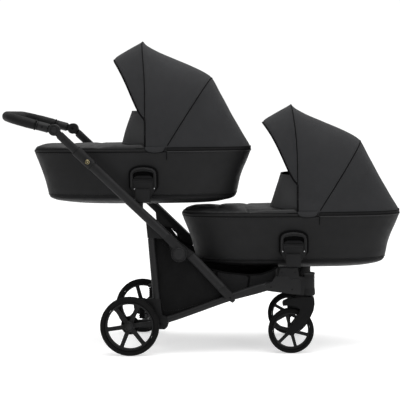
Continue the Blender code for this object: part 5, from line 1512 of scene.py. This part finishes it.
for side, k in SIDES:
    y_mid = k * FRAME_Y
    b = Build()
    data = curve_through([(x, z, r) for (x, z), r in zip(RAIL, RAIL_R)], 48)
    path = np.array([(x, y_mid, z) for x, z, _ in data])
    points, faces = tube(path, data[:, 2], sides=36)
    points[:, 1] = y_mid + np.clip((points[:, 1] - y_mid) * 0.86, -0.0112, 0.0112)
    b.add((points, faces), "low_coat")
    b.make(f"rail_{side}", "chassis", f"bottom_rail_{side}", sharp=50)

    b = Build()
    path = np.array([low(s, 0, y_mid) for s in np.linspace(-0.0880, 0.1270, 24)])
    b.add(tube(path, 0.0183, sides=36, squeeze=(Y, 0.605)), "low_coat")
    clip = [low(0.085, 0.0165), low(0.132, 0.0150), low(0.1555, 0.0060), low(0.1555, -0.0080), low(0.128, -0.0150), low(0.085, -0.0165)]
    b.add(slab(fillet([(p[0], p[2]) for p in clip], 0.004), k * (FRAME_OUT - 0.0016), k * (FRAME_OUT + 0.0034), bevel=0.0012), "moulding")
    at = low(0.134, 0.0)
    b.add(dome([(0, k * 0.0018), (0.0022, k * 0.0018), (0.0036, k * 0.0008), (0.0038, -k * 0.0006)], (at[0], k * (FRAME_OUT + 0.0034), at[2]), 20), "moulding_dark")
    b.make(f"front_strut_{side}", "chassis", f"lower_tube_{side}", sharp=50)

    b = Build()
    leg = curve_through([(0.1065, 0.1500), (0.0927, 0.3305), (0.0838, 0.4532)], 30)
    path = np.array([(x, y_mid, z) for x, z in leg])
    b.add(tube(path, 0.0136, sides=36, squeeze=(Y, 0.80)), "low_coat")
    foot = [(0.1175, 0.2150), (0.0880, 0.2190), (0.0300, 0.2140), (0.0290, 0.2005), (0.0600, 0.1985), (0.0870, 0.1840), (0.0950, 0.1500), (0.1000, 0.1080),
            (0.1100, 0.0970), (0.1330, 0.0960), (0.1440, 0.1060), (0.1496, 0.1220), (0.1416, 0.1468), (0.1230, 0.1520)]
    b.add(slab(fillet(foot, 0.004), k * 0.2337, k * (FRAME_OUT - 0.0004), bevel=0.0016), "low_moulding")
    b.add(slab([(0.0290, 0.2003), (0.0600, 0.2003), (0.0600, 0.2120), (0.0290, 0.2120)], k * 0.2215, k * 0.2380, bevel=0.0015), "moulding")
    b.add(turned(fillet([(0.0008, k * 0.2190), (0.0050, k * 0.2190), (0.0050, k * 0.2380), (0.0008, k * 0.2380)], 0.0004, 1), (SUSP[0], 0, SUSP[2]), 24), "steel")
    b.add(dome([(0, k * 0.2460), (0.0030, k * 0.2459), (0.0054, k * 0.2452), (0.0062, k * 0.2441)], (SUSP[0], 0, SUSP[2]), 28), "moulding_dark")
    path, radii = rounded_ends([(0.0905, y_mid, 0.3600), (0.0889, y_mid, 0.3850)], 0.0143, 0.0008)
    b.make(f"leg_{side}", "chassis", f"rear_leg_{side}", sharp=50)

    b = Build()
    profile = [(0.0, 0.0295), (0.0112, 0.0295), (0.0118, 0.0285)]
    for i in range(6):
        z = 0.0235 - i * 0.0088
        profile += [(0.0126, z + 0.0022), (0.0122, z + 0.0006), (0.0100, z - 0.0026), (0.0103, z - 0.0040)]
    profile += [(0.0118, -0.0285), (0.0116, -0.0295), (0.0, -0.0295)]
    b.add(dome(profile, (0.0440, k * 0.2270, 0.1685), 32, axis="Z"), "tyre_rubber")
    boot = b.make(f"spring_boot_{side}", "chassis", f"suspension_boot_{side}", sharp=60)
    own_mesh(boot)

    fine(f"hinge_housing_{side}", "low_moulding", width=0.0014, seg=3)
    # the bracket in darker low_moulding: over its upper part this tone is painted shade where it sits under the cot
    fine(f"front_bracket_{side}", "low_moulding", width=0.0014, seg=3)
    fine(f"front_fork_{side}", "moulding_dark", width=0.0024, seg=3)

    # parting lines, screws and the dust ring of the caster housing; a lighter moulding overlay on the bracket's lower
    # part paints its lit side, against the darker low_moulding above it, which is painted shade under the cot; a
    # lighter cap ring on the housing's top is a painted highlight
    b = Build()
    for z, r in ((0.2975, 0.0239), (0.3105, 0.0236)):
        b.add(turned(fillet([(r - 0.0020, z - 0.0011), (r + 0.0005, z - 0.0008), (r + 0.0005, z + 0.0008), (r - 0.0020, z + 0.0011)], 0.0003, 1), (CASTER_X, k * CASTER_Y, 0), 48, axis="Z"), "moulding_dark")
    face = k * (FRAME_OUT - 0.0004)
    # painted light: the lit lower part of the bracket, as a lighter moulding overlay
    painted_light_overlay = [(0.5290, 0.2722), (0.5520, 0.2812), (0.5664, 0.3020), (0.6161, 0.3012), (0.6225, 0.2881), (0.6492, 0.2920), (0.6613, 0.2852), (0.6624, 0.2325), (0.6326, 0.2335), (0.6001, 0.2400), (0.5540, 0.2464), (0.5310, 0.2484)]
    b.add(slab(fillet(painted_light_overlay, 0.0035), face - k * 0.0010, face + k * 0.0030, bevel=0.0010, seg=3), "moulding")
    ledge = resample(np.array([(x, face + k * 0.0024, z) for x, z in fillet(painted_light_overlay, 0.0035)]), step=0.004, closed=True)
    b.add(tube(ledge, 0.0007, sides=6, closed=True), "powder_coat")
    # painted highlight: the housing's top, made lighter as a moulding cap ring
    b.add(turned(fillet([(0.0040, 0.3080), (0.0247, 0.3080), (0.0250, 0.3092), (0.0247, 0.3140), (0.0232, 0.3156), (0.0190, 0.3166), (0.0040, 0.3166)], 0.0006, 2), (CASTER_X, k * CASTER_Y, 0), 56, axis="Z"), "moulding")
    b.add(turned(fillet([(0.0200, 0.2310), (0.0252, 0.2310), (0.0256, 0.2350), (0.0250, 0.2460), (0.0240, 0.2560), (0.0200, 0.2560)], 0.0006, 2), (CASTER_X, k * CASTER_Y, 0), 56, axis="Z"), "low_moulding")
    for x, z in ((0.5480, 0.2620), (0.6300, 0.2520), (0.6420, 0.3180), (0.5900, 0.3180)):
        b.add(dome([(0, k * 0.0013), (0.0022, k * 0.0013), (0.0032, k * 0.0006), (0.0034, -k * 0.0005)], (x, face + (k * 0.0030 if z < 0.3 else 0.0), z), 20), "moulding_dark")
    b.make(f"front_bracket_detail_{side}", "chassis")

fine("front_cross_tube", "low_coat", width=0.0006)
fine("rear_axle_beam", "low_coat", width=0.0010)
for side, k in SIDES:
    b = Build()
    drum = [(0.0060, k * 0.2478), (0.0250, k * 0.2478), (0.0300, k * 0.2490), (0.0360, k * 0.2500), (0.0367, k * 0.2512), (0.0367, k * 0.2555), (0.0356, k * 0.2562), (0.0060, k * 0.2562)]
    b.add(turned(fillet(drum, 0.0006, 2), (0, 0, REAR_R), 64), "moulding_dark")
    for i in range(18):
        a = TAU * i / 18
        at = (0.0270 * math.cos(a), k * 0.2564, REAR_R + 0.0270 * math.sin(a))
        b.add(dome([(0, k * 0.0008), (0.0016, k * 0.0007), (0.0020, -k * 0.0004)], at, 10), "moulding_dark")
    b.make(f"brake_drum_{side}", "rear_axle")
fine("brake_pedal", "moulding", width=0.0022, seg=3)

# ================================================================ basket
TOP_EDGE = [(0.142, 0.3290), (0.305, 0.3290), (0.390, 0.3120), (0.455, 0.3050), (0.510, 0.3085), (0.550, 0.3210), (0.577, 0.3340)]
FLOOR_EDGE = [(0.142, 0.1600), (0.200, 0.1500), (0.272, 0.1720), (0.350, 0.2000), (0.445, 0.2350), (0.530, 0.2580), (0.577, 0.2740)]


def between(table, x):
    return float(np.interp(x, [p[0] for p in table], [p[1] for p in table]))


def box_ring(x0, x1, b, r, count=140):
    """A rectangle with rounded corners, evenly stepped."""
    pts = []
    for cx, cy, start in ((x1 - r, b - r, 0), (x0 + r, b - r, 90), (x0 + r, -b + r, 180), (x1 - r, -b + r, 270)):
        for i in range(9):
            q = math.radians(start + 90 * i / 8)
            pts.append((cx + r * math.cos(q), cy + r * math.sin(q), 0))
    return resample(np.array(pts), n=count, closed=True)


rows = []
for d in np.linspace(0, 1, 15):
    tuck = 0.0035 + 0.006 * math.sin(math.pi * d) ** 1.2 + 0.010 * d ** 4
    ring = box_ring(0.1425 + tuck * 0.8, 0.5758 - tuck * 0.35 - 0.006 * d ** 3, 0.2118 - tuck, 0.018 + 0.006 * d)
    for p in ring:
        x = p[0]
        top, bottom = between(TOP_EDGE, x), between(FLOOR_EDGE, x) + 0.006
        slack = -0.0035 * math.sin(math.pi * min(1.0, max(0.0, (x - 0.15) / 0.42)) * 3) ** 2 * (1 - d)
        p[2] = top + slack * 0.5 + (bottom - top) * d
        fold = math.sin(math.pi * d) * (wobble(p, (16, 16, 9), 0.0045, 3.3) + wobble(p, (45, 45, 14), 0.0012, 1.1))
        side = 1.0 if abs(p[1]) > 0.15 else 0.0
        p[1] -= math.copysign(abs(fold) * side, p[1])
        if not side:
            p[0] += fold if x < 0.3 else -abs(fold)
    rows.append(ring)
mid = vec(0.350, 0, 0)
for s in (0.93, 0.84, 0.72, 0.58, 0.44, 0.30, 0.16, 0.05):
    ring = rows[14].copy()
    for p in ring:
        p[0] = mid[0] + (p[0] - mid[0]) * s
        p[1] *= s
        sag = 0.0075 * (1 - s * s)
        p[2] = between(FLOOR_EDGE, p[0]) + 0.006 - sag + wobble(p, (14, 14, 4), 0.0035, 6.1) * (1 - s) ** 0.5 * s * 1.4
    rows.append(ring)
cloth = grid(rows, closed=True, ends=(False, True))
b = Build()
b.add(cloth, "basket_cloth")
basket = b.make("basket", None, "shopping_basket", sharp=180, flip=False)
thicken(basket, 0.0018, 1.0)
bake(basket)
basket.data.shade_smooth()
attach(basket, "chassis")
t = Build()
t.add(tube(rows[0], 0.0034, sides=10, closed=True, squeeze=((0, 1, 0), 0.75)), "seam_tape_and_shadow")
t.add(stitches(rows[1] + vec(0, 0, 0.0020), step=0.0095, length=0.006, r=0.0005, closed=True), "thread")
for x in (0.2300, 0.3400, 0.4600):
    for k in (-1, 1):
        strap = []
        for d, row in zip(np.linspace(0, 1, 15), rows[:15]):
            near = min((p for p in row if p[1] * k > 0.12), key=lambda p: abs(p[0] - x))
            strap.append(near + vec(0, k * 0.0008, 0))
        t.add(tube(resample(strap, step=0.008), 0.0042, sides=8, squeeze=((0, 1, 0), 0.22)), "seam_tape_and_shadow")
trim = t.make("basket_binding", "chassis", (), sharp=60)

# ================================================================ side panels
PANEL_TOP = [(0.0960, 0.4560), (0.1300, 0.4500), (0.1640, 0.4050), (0.1940, 0.3800), (0.2420, 0.3740), (0.3050, 0.3080), (0.3900, 0.2220)]
PANEL_LOW = [(0.0960, 0.4540), (0.1060, 0.2500), (0.1280, 0.1380), (0.1940, 0.1510), (0.2720, 0.1790), (0.3500, 0.2070), (0.3900, 0.2215)]
for side, k in SIDES:
    stations = np.unique(np.concatenate([np.linspace(0.0962, 0.1290, 12), np.linspace(0.1290, 0.3880, 60)]))
    rows = []
    for x in stations:
        a, c = between(PANEL_LOW, x), between(PANEL_TOP, x)
        row = []
        for i in range(49):
            v = i / 48
            z = a + (c - a) * v
            edge = min(v, 1 - v) * (c - a)
            hold = min(1.0, edge / 0.03)
            # folds run from the fold joint down to the foot of the leg
            along = (x - 0.150) * 0.85 - (z - 0.200) * 0.45
            fold = 0.0016 * math.sin(along * 95 + 2.0 * noise.noise(Vector((x * 9, 0, z * 6)))) + wobble((x, 0, z), (11, 1, 9), 0.0030, 2.0)
            row.append((x, k * (0.2168 - 0.0012 + hold * fold * 0.7), z))
        rows.append(np.array(row))
    cloth = grid(rows)
    b = Build()
    b.add(cloth, "panel_cloth")
    panel = b.make(f"panel_{side}", None, f"side_panel_{side}", sharp=180, flip=False)
    thicken(panel, 0.0016, 0.0)
    bake(panel)
    panel.data.shade_smooth()
    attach(panel, "chassis")
    t = Build()
    stack = np.array(rows)
    rim = np.concatenate([stack[:, -1], stack[-1, ::-1][1:], stack[::-1, 0][1:]])
    t.add(tube(resample(rim, step=0.008), 0.0022, sides=8), "seam_tape_and_shadow")
    inside = np.concatenate([stack[6:-6, -4], stack[-6:6:-1, 4]])
    t.add(stitches(inside + vec(0, k * 0.0012, 0), step=0.0095, length=0.006, r=0.0005), "thread")
    trim = t.make(f"panel_hem_{side}", "chassis", (), sharp=180)

# ================================================================ floor, light, camera
bm = bmesh.new()
bmesh.ops.create_grid(bm, x_segments=24, y_segments=24, size=60.0)
me = bpy.data.meshes.new("floor")
bm.to_mesh(me)
bm.free()
n = Nodes("floor_paint", (0.72, 0.72, 0.72), 0.80, spec=0.10)
n.colour(n.mix(n.noise(3.0, 3.0), (0.715, 0.715, 0.715), (0.735, 0.735, 0.735)))
n.shader.inputs["Emission Color"].default_value = (1, 1, 1, 1)
n.shader.inputs["Emission Strength"].default_value = 0.49
n.bump(n.noise(220.0, 3.0), 0.0001, 0.2)
me.materials.append(n.mat)
floor = bpy.data.objects.new("floor", me)
bpy.context.scene.collection.objects.link(floor)
floor.location = (0, 0, -0.0006)

world = bpy.data.worlds.new("studio")
bpy.context.scene.world = world
world.use_nodes = True
sky = world.node_tree
back = sky.nodes["Background"]
back.inputs["Color"].default_value = (1, 1, 1, 1)


def sky_math(op, a, b):
    node = sky.nodes.new("ShaderNodeMath")
    node.operation = op
    for socket, value in zip(node.inputs, (a, b)):
        if isinstance(value, (int, float)):
            socket.default_value = value
        else:
            sky.links.new(value, socket)
    return node.outputs[0]


split = sky.nodes.new("ShaderNodeSeparateXYZ")
sky.links.new(sky.nodes.new("ShaderNodeTexCoord").outputs["Generated"], split.inputs[0])
above = sky_math("MULTIPLY", sky_math("MAXIMUM", split.outputs[2], 0.0), 1.00)
ahead = sky_math("MULTIPLY", sky_math("MAXIMUM", sky_math("MULTIPLY", split.outputs[1], -1.0), 0.0), 0.24)
glow = sky_math("ADD", sky_math("ADD", above, ahead), 0.18)
seen = sky.nodes.new("ShaderNodeLightPath").outputs["Is Camera Ray"]
power = sky_math("ADD", sky_math("MULTIPLY", glow, sky_math("SUBTRACT", 1.0, seen)), sky_math("MULTIPLY", seen, 1.05))
sky.links.new(power, back.inputs["Strength"])


def lamp(name, at, aim, size, energy):
    data = bpy.data.lights.new(name, "AREA")
    data.shape = "RECTANGLE"
    data.size, data.size_y = size
    data.energy = energy
    ob = bpy.data.objects.new(name, data)
    bpy.context.scene.collection.objects.link(ob)
    ob.location = at
    ob.rotation_euler = (Vector(aim) - Vector(at)).to_track_quat("-Z", "Y").to_euler()
    return ob


lamp("overhead", (0.2, -0.4, 3.4), (0, 0, 0.5), (3.2, 2.4), 66)
lamp("left_key", (-3.2, -2.2, 2.2), (0, 0, 0.6), (1.8, 1.8), 8)
lamp("right_fill", (2.3, -2.9, 1.8), (0.1, 0, 0.6), (1.6, 1.8), 32)

yaw, pitch, roll = -0.0482, -0.0655, -0.010
d = Vector((math.sin(yaw) * math.cos(pitch), math.cos(yaw) * math.cos(pitch), math.sin(pitch)))
r0 = Vector((math.cos(yaw), -math.sin(yaw), 0))
u0 = r0.cross(d)
right = r0 * math.cos(roll) + u0 * math.sin(roll)
upward = -r0 * math.sin(roll) + u0 * math.cos(roll)
cam = bpy.data.cameras.new("camera")
cam.sensor_fit = "HORIZONTAL"
cam.sensor_width = 36.0
cam.lens = 36.0 * 1316.2 / 400
cam.clip_end = 200
cam.dof.use_dof = False
eye = bpy.data.objects.new("camera", cam)
bpy.context.scene.collection.objects.link(eye)
turn = Matrix((right, upward, -d)).transposed().to_4x4()
eye.matrix_world = Matrix.Translation((0.5208 - 0.2783, -5.3198, 0.9347)) @ turn
bpy.context.scene.camera = eye
bpy.context.scene.view_settings.view_transform = "Standard"
bpy.context.scene.view_settings.look = "None"

bpy.context.view_layer.update()
